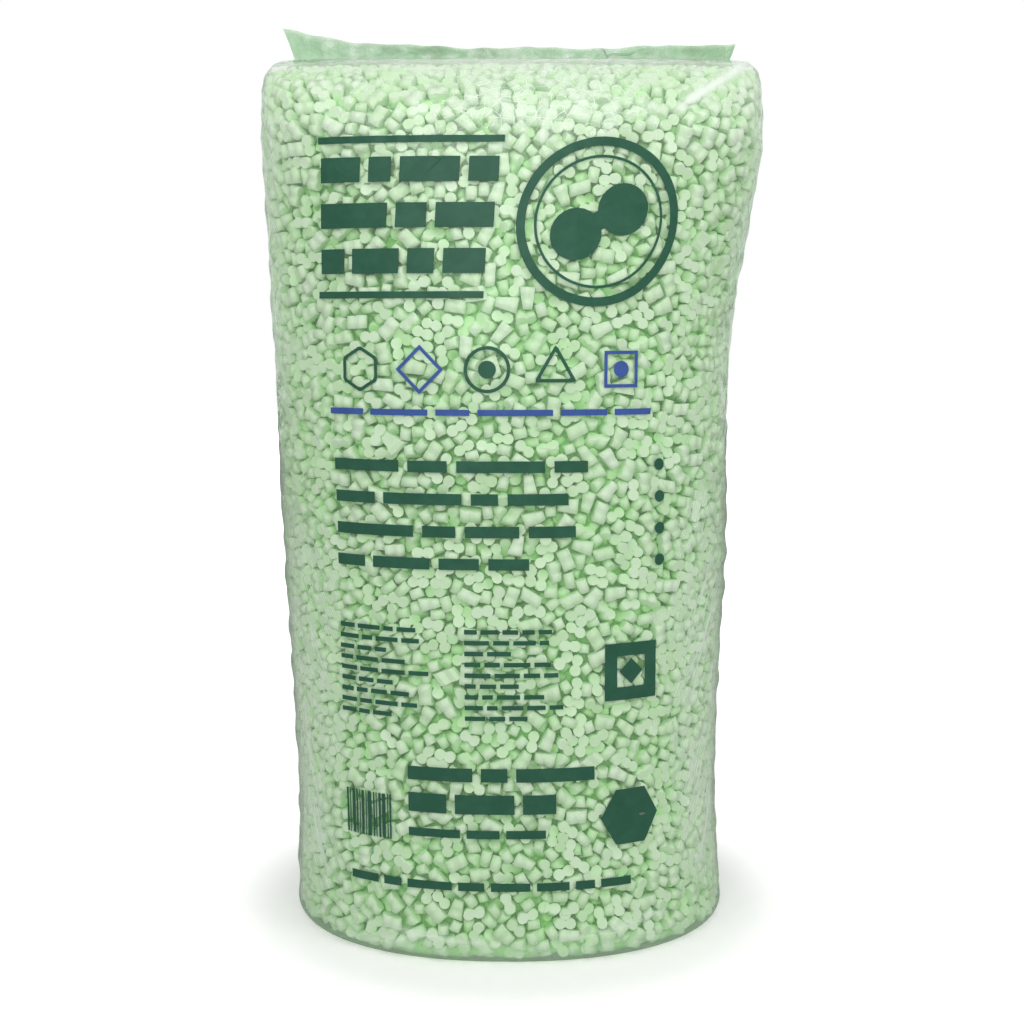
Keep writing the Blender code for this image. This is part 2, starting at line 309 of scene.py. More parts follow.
def new_group(
    name: str, inputs: dict[str, float], outputs: Iterable[str]
) -> tuple[bpy.types.NodeTree, NodeBook, bpy.types.Node]:
    """Starts a shader node group with a Vector input and named numbers.

    Args:
        name: The group's name.
        inputs: Its numbers in and their usual values.
        outputs: Its numbers out.

    Returns:
        The group, its book and its input node.
    """
    group = bpy.data.node_groups.new(name, "ShaderNodeTree")
    group.interface.new_socket("Vector", in_out="INPUT", socket_type="NodeSocketVector")
    for label, value in inputs.items():
        group.interface.new_socket(label, in_out="INPUT", socket_type="NodeSocketFloat").default_value = value
    for label in outputs:
        group.interface.new_socket(label, in_out="OUTPUT", socket_type="NodeSocketFloat")
    book = NodeBook(group)
    return group, book, book.add("NodeGroupInput")


def foam_skin_group() -> bpy.types.NodeTree:
    """The skin of extruded foam: fine bubbles, faint drag lines and a slow change of tone.

    Returns:
        The group.
    """
    group, book, source = new_group("foam_skin", {"Bubble Scale": 420.0}, ("Height", "Mottle"))
    place = source.outputs["Vector"]
    cells = book.add("ShaderNodeTexVoronoi", {"Vector": place, "Scale": source.outputs["Bubble Scale"]})
    dimple = book.remap(cells.outputs["Distance"], 0.1, 0.6)
    height = book.math("ADD", book.math("MULTIPLY", dimple, 0.35), book.noise(place, 130.0, 1.0))
    book.add("NodeGroupOutput", {"Height": height, "Mottle": book.noise(place, 55.0, 1.0)})
    return group


def film_crinkle_group() -> bpy.types.NodeTree:
    """Crinkles of thin film: soft dents, and sharp crease lines where the dents meet; the film also paints highlights
    along these lines.

    Returns:
        The group.
    """
    group, book, source = new_group("film_crinkle", {"Scale": 22.0}, ("Height", "Crease", "Lines"))
    place, scale = source.outputs["Vector"], source.outputs["Scale"]
    bend = book.add("ShaderNodeTexNoise", {"Vector": place, "Scale": 9.0, "Detail": 2.0}).outputs["Color"]
    shift = book.add("ShaderNodeVectorMath", {0: bend, 1: (0.05, 0.05, 0.05)}, operation="MULTIPLY").outputs[0]
    warped = book.add("ShaderNodeVectorMath", {0: place, 1: shift}, operation="ADD").outputs[0]
    facets = book.add("ShaderNodeTexVoronoi", {"Vector": warped, "Scale": scale}, feature="DISTANCE_TO_EDGE")
    line = book.remap(facets.outputs["Distance"], 0.0, 0.030, 1.0, 0.0)
    crease = book.math("MULTIPLY", line, book.remap(book.noise(place, 9.0, 3.0), 0.60, 0.72))
    height = book.math("ADD", book.noise(warped, scale, 3.0, 0.55), book.math("MULTIPLY", crease, 0.25))
    book.add("NodeGroupOutput", {"Height": height, "Crease": crease, "Lines": line})
    return group


@dataclass(frozen=True)
class FoamFinish:
    """Pale foamed plastic with a fine skin. Tone makes each piece lighter or darker. The deep colour is painted shade:
    the saturated green that light takes on between the pieces, mixed in where a piece lies deeper under the film."""

    name: str = "green_foam"
    light: Triple = (0.710, 0.870, 0.655)
    dark: Triple = (0.560, 0.805, 0.470)
    # painted shade: the saturated green that light takes on in the gaps between the peanuts
    deep: Triple = (0.420, 0.880, 0.270)
    tone_reach: float = 0.42
    mottle_reach: float = 0.7
    mottle_start: float = 0.15
    roughness: float = 0.62
    specular: float = 0.35
    bubble_scale: float = 420.0
    bump_distance: float = 0.0006

    def material(self, skin: bpy.types.NodeTree) -> bpy.types.Material:
        """Builds the material.

        Args:
            skin: The group for the foam's skin.

        Returns:
            The material.
        """
        made, book, place = new_material(self.name)
        grain = book.add("ShaderNodeGroup", {"Vector": place, "Bubble Scale": self.bubble_scale}, node_tree=skin)
        mottle = book.math("MULTIPLY_ADD", grain.outputs["Mottle"], self.mottle_reach, self.mottle_start)
        share = book.math("MULTIPLY_ADD", book.attribute("tone"), self.tone_reach, mottle, clamp=True)
        colour = book.mix(share, self.dark, self.light)
        rough = book.math("MULTIPLY_ADD", grain.outputs["Height"], 0.12, self.roughness - 0.08)
        book.coat(
            {
                # Painted shade: the gap green is mixed in where a peanut lies deeper under the film.
                "Base Color": book.mix(book.attribute("painted_gap_shade"), colour, self.deep),
                "Roughness": rough,
                "Normal": book.bump(grain.outputs["Height"], self.bump_distance),
                "Specular IOR Level": self.specular,
            }
        )
        return made


@dataclass(frozen=True)
class FilmFinish:
    """Thin clear film: two glossy faces that reflect by angle, and a milky haze. Painted highlights lie in its folds,
    pleats, creases and crimps, and painted green fill light from the foam behind it tints its haze.
    """

    name: str = "clear_film"
    # white of the film's haze and of its painted highlights
    haze_and_highlight_white: Triple = (0.88, 0.97, 0.86)
    # painted fill light: the mid green that the film's haze takes from the fill behind it
    painted_fill_green: Triple = (0.36, 0.56, 0.36)
    # haze everywhere, raised above the film's own into a painted veil of fill light that lifts the shade between
    # peanuts
    base_haze_and_painted_fill: float = 0.150
    # strength of the haze attribute, with its painted highlights and light, and of the painted highlight lines on
    # pleats, creases and crimps
    haze_and_painted_light_scale: float = 0.42
    pleat_highlight: float = 0.75
    crease_highlight: float = 0.20
    crimp_highlight_strength: float = 0.7
    crimp_scale: float = 48.0
    roughness: float = 0.16
    ior: float = 1.36
    two_faces: float = 1.25
    most_cover: float = 0.94
    bump_distance: float = 0.0045

    def material(self, crinkle: bpy.types.NodeTree) -> bpy.types.Material:
        """Builds the material. Alpha is how much of the view the film covers: reflection, haze and painted highlights.

        Args:
            crinkle: The group for film crinkles.

        Returns:
            The material.
        """
        made, book, place = new_material(self.name)
        grain = book.add("ShaderNodeGroup", {"Vector": place}, node_tree=crinkle)
        crimp = book.add("ShaderNodeGroup", {"Vector": place, "Scale": self.crimp_scale}, node_tree=crinkle)
        normal = book.bump(grain.outputs["Height"], self.bump_distance)
        pleats = book.math("MULTIPLY", self.painted_pleat_highlights(book), book.attribute("pleat"))
        crimps = book.math("MULTIPLY", crimp.outputs["Lines"], book.attribute("crimp"))
        # Cover: the film's haze, with the painted highlights and painted light that the haze attribute carries, over a
        # base share.
        haze_and_highlight = book.math("MULTIPLY_ADD", book.attribute("haze_and_painted_light"), self.haze_and_painted_light_scale, self.base_haze_and_painted_fill)
        # Painted highlights: bright lines along the pleats.
        haze_and_highlight = book.math("MULTIPLY_ADD", pleats, self.pleat_highlight, haze_and_highlight)
        # Painted highlights: bright lines along the crinkles' creases.
        haze_and_highlight = book.math("MULTIPLY_ADD", grain.outputs["Crease"], self.crease_highlight, haze_and_highlight)
        # Painted highlights: small bright crimp lines at the front shoulder and the fin.
        haze_and_highlight = book.math("MULTIPLY_ADD", crimps, self.crimp_highlight_strength, haze_and_highlight, clamp=True)
        gloss = book.add("ShaderNodeFresnel", {"IOR": self.ior, "Normal": normal}).outputs[0]
        gloss = book.math("MULTIPLY", gloss, self.two_faces, clamp=True)
        clear = book.math("MULTIPLY", book.math("SUBTRACT", 1.0, gloss), book.math("SUBTRACT", 1.0, haze_and_highlight))
        alpha = book.math("MINIMUM", book.math("SUBTRACT", 1.0, clear), self.most_cover)
        book.coat(
            {
                # Base colour: the white of haze and painted highlights, tinted by the painted green fill light.
                "Base Color": book.mix(book.attribute("painted_fill_light"), self.haze_and_highlight_white, self.painted_fill_green),
                "Roughness": self.roughness,
                "Metallic": book.math("DIVIDE", gloss, alpha, clamp=True),
                "Specular IOR Level": 0.0,
                "Alpha": alpha,
                "Normal": normal,
            }
        )
        return made

    def painted_pleat_highlights(self, book: NodeBook) -> Socket:
        """Painted highlights: thin bright lines that run along the pleat map, where the film is drawn tight over the
        corners.

        Args:
            book: The material's nodes.

        Returns:
            How bright the lines are.
        """
        pleats = book.add("ShaderNodeUVMap", uv_map="pleats").outputs[0]
        stretched = book.add("ShaderNodeMapping", {"Vector": pleats, "Scale": (5.0, 60.0, 1.0)}).outputs[0]
        ridge = book.math("ABSOLUTE", book.math("SUBTRACT", book.noise(stretched, 1.0, 2.0, 0.45), 0.5))
        fine = book.remap(ridge, 0.0, 0.050, 1.0, 0.0)
        broad = book.remap(book.noise(stretched, 0.5, 1.0), 0.42, 0.72, 0.0, 0.45)
        return book.math("ADD", fine, broad)


@dataclass(frozen=True)
class InkFinish:
    """Flexographic ink on film: a flat colour with slightly uneven cover."""

    name: str
    colour: Triple
    worn: Triple
    roughness: float = 0.42
    specular: float = 0.2
    bump_distance: float = 0.002

    def material(self, crinkle: bpy.types.NodeTree) -> bpy.types.Material:
        """Builds the material.

        Args:
            crinkle: The group for film crinkles.

        Returns:
            The material.
        """
        made, book, place = new_material(self.name)
        grain = book.add("ShaderNodeGroup", {"Vector": place}, node_tree=crinkle)
        cover = book.remap(book.noise(place, 38.0, 4.0, 0.6), 0.35, 0.75)
        book.coat(
            {
                "Base Color": book.mix(cover, self.colour, self.worn),
                "Roughness": self.roughness,
                "Normal": book.bump(grain.outputs["Height"], self.bump_distance),
                "Specular IOR Level": self.specular,
            }
        )
        return made


# Loose fill


@dataclass
class FillSpace:
    """How deep a place lies in the space that the peanuts fill, kept on a grid."""

    form: BagForm
    headroom: float = 0.006
    step: float = 0.010
    low: Triple = (-0.42, -0.33, -0.02)
    high: Triple = (0.42, 0.33, 1.42)
    depth: Grid = field(init=False)
    side: Grid = field(init=False)
    inward: Grid = field(init=False)

    def __post_init__(self) -> None:
        """Fills the grid with depths and with the direction in which they grow."""
        axes = [np.arange(a, b + self.step, self.step) for a, b in zip(self.low, self.high)]
        x, y, z = np.meshgrid(*axes, indexing="ij")
        lowered = z + self.headroom * smooth_step(z, self.form.shoulder, self.form.ridge - self.headroom)
        points = np.stack([x.ravel(), y.ravel(), np.clip(lowered, 0.0, self.form.ridge).ravel()], axis=1)
        value = np.minimum(self.form.field(points), 4.0).reshape(x.shape)
        slope = np.linalg.norm(np.stack(np.gradient(value, self.step), axis=-1), axis=-1)
        self.side = np.maximum((1.0 - value) / np.maximum(slope, 1.0), -0.03)
        self.depth = np.minimum(self.side, z - 0.001)
        grow = np.stack(np.gradient(self.depth, self.step), axis=-1)
        self.inward = grow / np.maximum(np.linalg.norm(grow, axis=-1, keepdims=True), 0.2)

    def read(self, points: Grid) -> tuple[Grid, Grid, Grid]:
        """Reads the grid.

        Args:
            points: Places, one row each.

        Returns:
            Depth, depth from the sides and roof alone, and the direction inward, one row a place.
        """
        at = (points - np.asarray(self.low)) / self.step
        cell = np.clip(np.rint(at).astype(int), 0, np.asarray(self.depth.shape) - 1)
        key = (cell[:, 0], cell[:, 1], cell[:, 2])
        inward = self.inward[key]
        off = (at - cell) * self.step
        nudge = (off * inward).sum(axis=1)
        return self.depth[key] + nudge, self.side[key] + nudge, inward


@dataclass(frozen=True)
class PeanutShape:
    """A two-lobed foam peanut: an extruded figure of eight with slanted ends. X runs across the lobes, Z along it."""

    length: float
    slant_low: float
    slant_high: float
    lobe_radius: float = 0.009
    lobe_spacing: float = 0.0172
    waist: float = 0.0049
    lobe_turns: tuple[float, ...] = (-114.0, -76.0, -38.0, 0.0, 38.0, 76.0, 114.0)

    def outline(self) -> list[tuple[float, float]]:
        """Corners of the figure of eight.

        Returns:
            The corners, anticlockwise from the foot of the right lobe.
        """
        right = []
        for turn in self.lobe_turns:
            a = math.radians(turn)
            right.append((self.lobe_spacing / 2 + self.lobe_radius * math.cos(a), self.lobe_radius * math.sin(a)))
        left = [(-x, -y) for x, y in right]
        return right + [(0.0, self.waist)] + left + [(0.0, -self.waist)]

    def build(self) -> tuple[Grid, list[list[int]], list[bool]]:
        """Builds the peanut from a circle that is pressed into the outline and extruded.

        Returns:
            Its vertices, its faces, and for each face whether it is a flat end.
        """
        outline = self.outline()
        bm = bmesh.new()
        bmesh.ops.create_circle(bm, cap_ends=True, cap_tris=False, segments=len(outline), radius=1.0)
        rim = sorted(bm.verts, key=lambda v: math.atan2(v.co.y, v.co.x) % math.tau)
        for vertex, (x, y) in zip(rim, outline):
            vertex.co = (x, y, -self.length / 2 + self.slant_low * x)
        raised = bmesh.ops.extrude_face_region(bm, geom=bm.faces[:])
        for vertex in (g for g in raised["geom"] if isinstance(g, bmesh.types.BMVert)):
            vertex.co.z = self.length / 2 + self.slant_high * vertex.co.x
        bmesh.ops.recalc_face_normals(bm, faces=bm.faces[:])
        bm.verts.index_update()
        points = np.array([v.co for v in bm.verts])
        faces = [[v.index for v in f.verts] for f in bm.faces]
        ends = [len(f.verts) > 4 for f in bm.faces]
        bm.free()
        return points, faces, ends


@dataclass
class PeanutPack:
    """Peanuts, each held as four balls, that push each other apart until they lie close together behind the film."""

    space: FillSpace
    count: int = 7900
    shell: float = 0.047
    ball_radius: float = 0.0088
    ball_across: float = 0.0086
    ball_along: float = 0.0040
    wall_gap: float = 0.0022
    near: float = 0.004
    settling: float = 0.0003
    longest_push: float = 0.004
    longest_turn: float = 0.25
    inertia: float = 9.0e-5
    seed: int = 11
    rounds: int = 340
    offsets: Grid = field(init=False)
    centres: Grid = field(init=False)
    turns: Grid = field(init=False)

    def __post_init__(self) -> None:
        """Places the four balls in a peanut."""
        corners = [(sx * self.ball_across, 0.0, sz * self.ball_along) for sx in (-1, 1) for sz in (-1, 1)]
        self.offsets = np.array(corners)

    def settle(self, fixed: list[tuple[Grid, Grid]]) -> None:
        """Places the peanuts at random and lets them settle.

        Args:
            fixed: Place and axes of peanuts that don't move.
        """
        random = np.random.default_rng(self.seed)
        self.centres = self.scatter(random)
        self.turns = random_turns(random, self.count)
        still = np.concatenate([c + self.offsets @ axes.T for c, axes in fixed])
        for step in range(self.rounds):
            share = step / self.rounds
            radius = self.ball_radius * (0.72 + 0.28 * min(1.0, share / 0.55))
            arms = np.einsum("nij,kj->nki", self.turns, self.offsets)
            balls = (self.centres[:, None] + arms).reshape(-1, 3)
            everything = np.concatenate([balls, still])
            if step % 5 == 0:
                first, second = near_pairs(everything, 2 * self.ball_radius + self.near)
                keep = (first // 4 != second // 4) & ((first < len(balls)) | (second < len(balls)))
                first, second = first[keep], second[keep]
            push, touched = self.pair_push(everything, first, second, 2 * radius, len(balls))
            depth, _, inward = self.space.read(balls)
            short = np.maximum(0.0, radius + self.wall_gap - depth)
            push += inward * short[:, None]
            touched += short > 0
            self.apply(push, touched, arms)
            _, side, inward = self.space.read(self.centres)
            drift = self.settling * (share < 0.6) * (side > 0.012)
            too_deep = 0.5 * np.maximum(0.0, side - self.shell)
            self.centres -= inward * np.maximum(drift, too_deep)[:, None]

    def clear_film(self, shapes: list[Grid], margin: float) -> None:
        """Draws each peanut in until none of its corners is nearer to the film than the margin.

        Args:
            shapes: The corners of each peanut, turned and sized, from its middle.
            margin: The depth that every corner keeps.
        """
        for _ in range(3):
            for number, corners in enumerate(shapes):
                depth, _, inward = self.space.read(corners + self.centres[number])
                worst = int(np.argmin(depth))
                self.centres[number] += inward[worst] * max(0.0, margin - depth[worst])

    def scatter(self, random: np.random.Generator) -> Grid:
        """Picks random places in the shell behind the film.

        Args:
            random: Where the draws come from.

        Returns:
            One place for each peanut.
        """
        low, high = np.asarray(self.space.low), np.asarray(self.space.high)
        found: list[Grid] = []
        while sum(map(len, found)) < self.count:
            tries = random.uniform(low, high, (60000, 3))
            depth, side, _ = self.space.read(tries)
            found.append(tries[(depth > 0.010) & (side < self.shell)])
        return np.concatenate(found)[: self.count]

    def pair_push(self, balls: Grid, first: Grid, second: Grid, apart: float, movable: int) -> tuple[Grid, Grid]:
        """Pushes overlapping balls apart.

        Args:
            balls: All centres, the movable ones first.
            first: Index of one ball of each pair.
            second: Index of the other.
            apart: The distance they should keep.
            movable: How many balls can move.

        Returns:
            The push on each movable ball, and how many it touches.
        """
        gap = balls[first] - balls[second]
        distance = np.maximum(np.linalg.norm(gap, axis=1), 1e-6)
        hit = distance < apart
        first, second, gap, distance = first[hit], second[hit], gap[hit], distance[hit]
        move = gap * (0.5 * (apart - distance) / distance)[:, None]
        ends = np.concatenate([first, second])
        moves = np.concatenate([move, -move])
        total = np.stack([np.bincount(ends, moves[:, k], len(balls)) for k in range(3)], axis=1)
        touched = np.bincount(ends, minlength=len(balls)).astype(float)
        return total[:movable], touched[:movable]

    def apply(self, push: Grid, touched: Grid, arms: Grid) -> None:
        """Moves and turns each peanut by the pushes on its balls.

        Args:
            push: The push on each ball.
            touched: How many others each ball touches.
            arms: Where each ball lies from its peanut's middle.
        """
        push = np.clip(push, -self.longest_push, self.longest_push).reshape(-1, 4, 3)
        touched = touched.reshape(-1, 4).sum(axis=1)
        eased = np.maximum(touched, 1.0)[:, None]
        self.centres += 1.5 * push.sum(axis=1) / eased
        twist = np.cross(arms, push).sum(axis=1) / (self.inertia * eased) * 0.9
        size = np.linalg.norm(twist, axis=1, keepdims=True)
        twist *= np.minimum(1.0, self.longest_turn / np.maximum(size, 1e-9))
        self.turns = self.turns + np.cross(twist[:, None, :], self.turns.transpose(0, 2, 1)).transpose(0, 2, 1)
        x = self.turns[:, :, 0]
        x = x / np.linalg.norm(x, axis=1, keepdims=True)
        z = self.turns[:, :, 2] - x * (self.turns[:, :, 2] * x).sum(axis=1, keepdims=True)
        z = z / np.linalg.norm(z, axis=1, keepdims=True)
        self.turns = np.stack([x, np.cross(z, x), z], axis=2)


def random_turns(random: np.random.Generator, count: int) -> Grid:
    """Random rotations.

    Args:
        random: Where the draws come from.
        count: How many.

    Returns:
        Rotation matrices, with the axes as columns.
    """
    x = random.normal(size=(count, 3))
    x /= np.linalg.norm(x, axis=1, keepdims=True)
    z = np.cross(x, random.normal(size=(count, 3)))
    z /= np.linalg.norm(z, axis=1, keepdims=True)
    return np.stack([x, np.cross(z, x), z], axis=2)


def near_pairs(points: Grid, reach: float) -> tuple[Grid, Grid]:
    """Finds near points through a grid of cells, each set against itself and half of its neighbours.

    Args:
        points: Places, one row each.
        reach: How near is near.

    Returns:
        The index of one and of the other point of every pair closer than reach.
    """
    cell = np.floor((points - points.min(axis=0)) / reach).astype(np.int64) + 1
    wide = cell.max(axis=0) + 2
    strides = np.array([wide[1] * wide[2], wide[2], 1])
    key = cell @ strides
    order = np.argsort(key, kind="stable")
    key = key[order]
    steps = [np.array(s) - 1 for s in np.ndindex(3, 3, 3)]
    shifts = [0] + [int(step @ strides) for step in steps if step @ np.array([9, 3, 1]) > 0]
    firsts, seconds = [], []
    for number, shift in enumerate(shifts):
        start = np.searchsorted(key, key + shift, side="left") if number else np.arange(len(key)) + 1
        stop = np.searchsorted(key, key + shift, side="right")
        size = np.maximum(stop - start, 0)
        first = np.repeat(np.arange(len(key)), size)
        begin = np.repeat(np.cumsum(size) - size, size)
        second = np.repeat(start, size) + np.arange(len(first)) - begin
        firsts.append(order[first])
        seconds.append(order[second])
    first, second = np.concatenate(firsts), np.concatenate(seconds)
    close = ((points[first] - points[second]) ** 2).sum(axis=1) < reach**2
    return first[close], second[close]


@dataclass
class LooseFill:
    """The peanuts behind the film, in bands by height, and behind them a heap whose saturated green is painted shade
    for the gaps.
    """

    form: BagForm
    foam: bpy.types.Material
    shade: bpy.types.Material
    bands: int = 5
    lengths: tuple[float, ...] = (0.0175, 0.019, 0.0205, 0.0195, 0.0215, 0.020)
    slants: tuple[tuple[float, float], ...] = (
        (0.0, 0.24),
        (-0.20, 0.1),
        (0.1, 0.1),
        (0.30, 0.28),
        (-0.1, 0.20),
        (0.0, 0.0),
    )
    film_margin: float = 0.0018
    stray_depth: float = 0.004
    # Depths under the film over which the painted gap shade grows in.
    gap_shade_start: float = 0.006
    gap_shade_reach: float = 0.020
    core_inset: float = 0.027
    core_foot: float = 0.013
    core_floor: float = 0.004
    core_headroom: float = 0.075
    core_lump: float = 0.006
    core_sides: int = 96
    core_rings: int = 90
    pack: PeanutPack = field(init=False)
    kind: Grid = field(init=False)
    scale: Grid = field(init=False)
    tone: Grid = field(init=False)

    def build(self) -> list[bpy.types.Object]:
        """Settles the peanuts and builds the bands and the heap.

        Returns:
            The new pieces.
        """
        self.pack = pack = PeanutPack(FillSpace(self.form))
        pack.settle(self.separate_peanuts())
        shapes = [PeanutShape(length, *slants).build() for length, slants in zip(self.lengths, self.slants)]
        random = np.random.default_rng(7)
        self.kind = random.integers(0, len(shapes), pack.count)
        self.scale = random.uniform(0.88, 0.97, pack.count)
        self.tone = np.clip(random.normal(0.0, 0.45, pack.count), -1.0, 1.0)
        turned = [(shapes[kind][0] * self.scale[i]) @ pack.turns[i].T for i, kind in enumerate(self.kind)]
        pack.clear_film(turned, self.film_margin)
        strays = pack.space.read(pack.centres)[0] < self.stray_depth
        edges = np.quantile(pack.centres[:, 2], np.linspace(0, 1, self.bands + 1))
        band = np.clip(np.searchsorted(edges, pack.centres[:, 2]) - 1, 0, self.bands - 1)
        made = [
            self.band(f"loose_peanuts_{number + 1}", shapes, np.flatnonzero((band == number) & ~strays))
            for number in range(self.bands)
        ]
        made.append(self.heap())
        for piece in made:
            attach(piece, "root")
            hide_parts("loose_fill")
        return made

    def separate_peanuts(self) -> list[tuple[Grid, Grid]]:
        """Reads where the CAD model's own peanuts lie from the shape of each.

        Returns:
            Place and axes of each.
        """
        found = []
        for name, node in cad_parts.items():
            if name.startswith("peanut_"):
                points = mesh_points(node.data)
                centre = points.mean(axis=0)
                _, _, axes = np.linalg.svd(points - centre, full_matrices=False)
                found.append((centre, np.stack([axes[0], np.cross(axes[1], axes[0]), axes[1]], axis=1)))
        return found

    def band(self, name: str, shapes: list[tuple[Grid, list, list]], chosen: Grid) -> bpy.types.Object:
        """Builds one band of peanuts.

        Args:
            name: The piece's name.
            shapes: The kinds of peanut.
            chosen: The peanuts in this band.

        Returns:
            The piece.
        """
        points, corners, sizes, flat, tones = [], [], [], [], []
        total = 0
        for number, (shape, faces, ends) in enumerate(shapes):
            own = chosen[self.kind[chosen] == number]
            placed = np.einsum("nij,kj->nki", self.pack.turns[own], shape) * self.scale[own, None, None]
            points.append((placed + self.pack.centres[own, None]).reshape(-1, 3))
            starts = total + np.arange(len(own)) * len(shape)
            corners.append((np.concatenate(faces)[None, :] + starts[:, None]).ravel())
            sizes.append(np.tile([len(f) for f in faces], len(own)))
            flat.append(np.tile(ends, len(own)))
            tones.append(np.repeat(self.tone[own], len(shape)))
            total += len(shape) * len(own)
        points, corners, sizes = (np.concatenate(parts) for parts in (points, corners, sizes))
        mesh = bpy.data.meshes.new(name)
        mesh.vertices.add(total)
        mesh.vertices.foreach_set("co", points.ravel())
        mesh.loops.add(len(corners))
        mesh.loops.foreach_set("vertex_index", corners)
        mesh.polygons.add(len(sizes))
        mesh.polygons.foreach_set("loop_start", np.cumsum(sizes) - sizes)
        mesh.update(calc_edges=True)
        mesh.polygons.foreach_set("use_smooth", ~np.concatenate(flat))
        # Painted shade: the deeper a vertex lies under the film, the more of the gap green it takes.
        painted_gap_shade = np.clip((self.pack.space.read(points)[0] - self.gap_shade_start) / self.gap_shade_reach, 0.0, 1.0)
        mark(mesh, {"tone": np.concatenate(tones), "painted_gap_shade": painted_gap_shade})
        mesh.validate()
        return link(name, mesh, self.foam)

    def heap(self) -> bpy.types.Object:
        """Builds the heap behind the peanuts: a globe pressed into the bag's form, lumpy, in a saturated green that
        paints the shade seen in the gaps.

        Returns:
            The piece.
        """
        bm = bmesh.new()
        bmesh.ops.create_uvsphere(bm, u_segments=self.core_sides, v_segments=self.core_rings, radius=1.0)
        mesh = bpy.data.meshes.new("heap_core")
        bm.to_mesh(mesh)
        bm.free()
        unit = mesh_points(mesh)
        turn = np.arctan2(unit[:, 1], unit[:, 0])
        rise = np.arccos(np.clip(-unit[:, 2], -1, 1)) / math.pi
        low, high = self.core_floor, self.form.ridge - self.core_headroom
        z = low + (high - low) * np.maximum(0.0, rise - 1 / self.core_rings) / (1 - 1 / self.core_rings)
        a, b, n, lean, tuck = self.form.sizes(np.minimum(z + 0.02 * rise, self.form.ridge))
        ends = np.clip(np.minimum(rise * self.core_rings, (1 - rise) / 0.06), 0, 1) ** 0.5
        inset = self.core_foot + (self.core_inset - self.core_foot) * smooth_step(z, 0.006, 0.034)
        x = signed_power(np.cos(turn), 2 / n) * np.maximum(0.01, a - tuck - inset) * ends
        y = signed_power(np.sin(turn), 2 / n) * np.maximum(0.004, b - inset) * ends
        points = np.stack([x + lean, y, z], axis=1)
        points += (unit * self.core_lump) * rumple(points, (0.03, 0.03, 0.03), 21)[:, None]
        points[:, 2] = np.maximum(points[:, 2], low)
        reshape(mesh, points)
        return link("heap_core", mesh, self.shade)


def mesh_points(mesh: bpy.types.Mesh) -> Grid:
    """Reads a mesh's vertices.

    Args:
        mesh: The mesh.

    Returns:
        Their places, one row each.
    """
    points = np.empty(len(mesh.vertices) * 3)
    mesh.vertices.foreach_get("co", points)
    return points.reshape(-1, 3)


def reshape(mesh: bpy.types.Mesh, points: Grid) -> None:
    """Moves a mesh's vertices and smooths its faces.

    Args:
        mesh: The mesh.
        points: The vertices' new places, one row each.
    """
    mesh.vertices.foreach_set("co", points.ravel())
    mesh.polygons.foreach_set("use_smooth", np.ones(len(mesh.polygons), bool))
    mesh.update()


def mark(mesh: bpy.types.Mesh, marks: dict[str, Grid]) -> None:
    """Gives a mesh attributes with one number a vertex."""
    for name, values in marks.items():
        mesh.attributes.new(name, "FLOAT", "POINT").data.foreach_set("value", values)


def link(name: str, mesh: bpy.types.Mesh, *materials: bpy.types.Material) -> bpy.types.Object:
    """Puts a mesh into the scene.

    Args:
        name: The object's name.
        mesh: Its mesh.
        *materials: Its materials.

    Returns:
        The object.
    """
    for material in materials:
        mesh.materials.append(material)
    piece = bpy.data.objects.new(name, mesh)
    bpy.context.scene.collection.objects.link(piece)
    return piece


# Film


@dataclass(frozen=True)
class Fold:
    """A fold that stands out of the film along a line, in metres along the girth and up the bag; its haze is mostly a
    painted highlight along it.
    """

    start: tuple[float, float]
    end: tuple[float, float]
    width: float
    height: float
    haze_and_painted_light: float


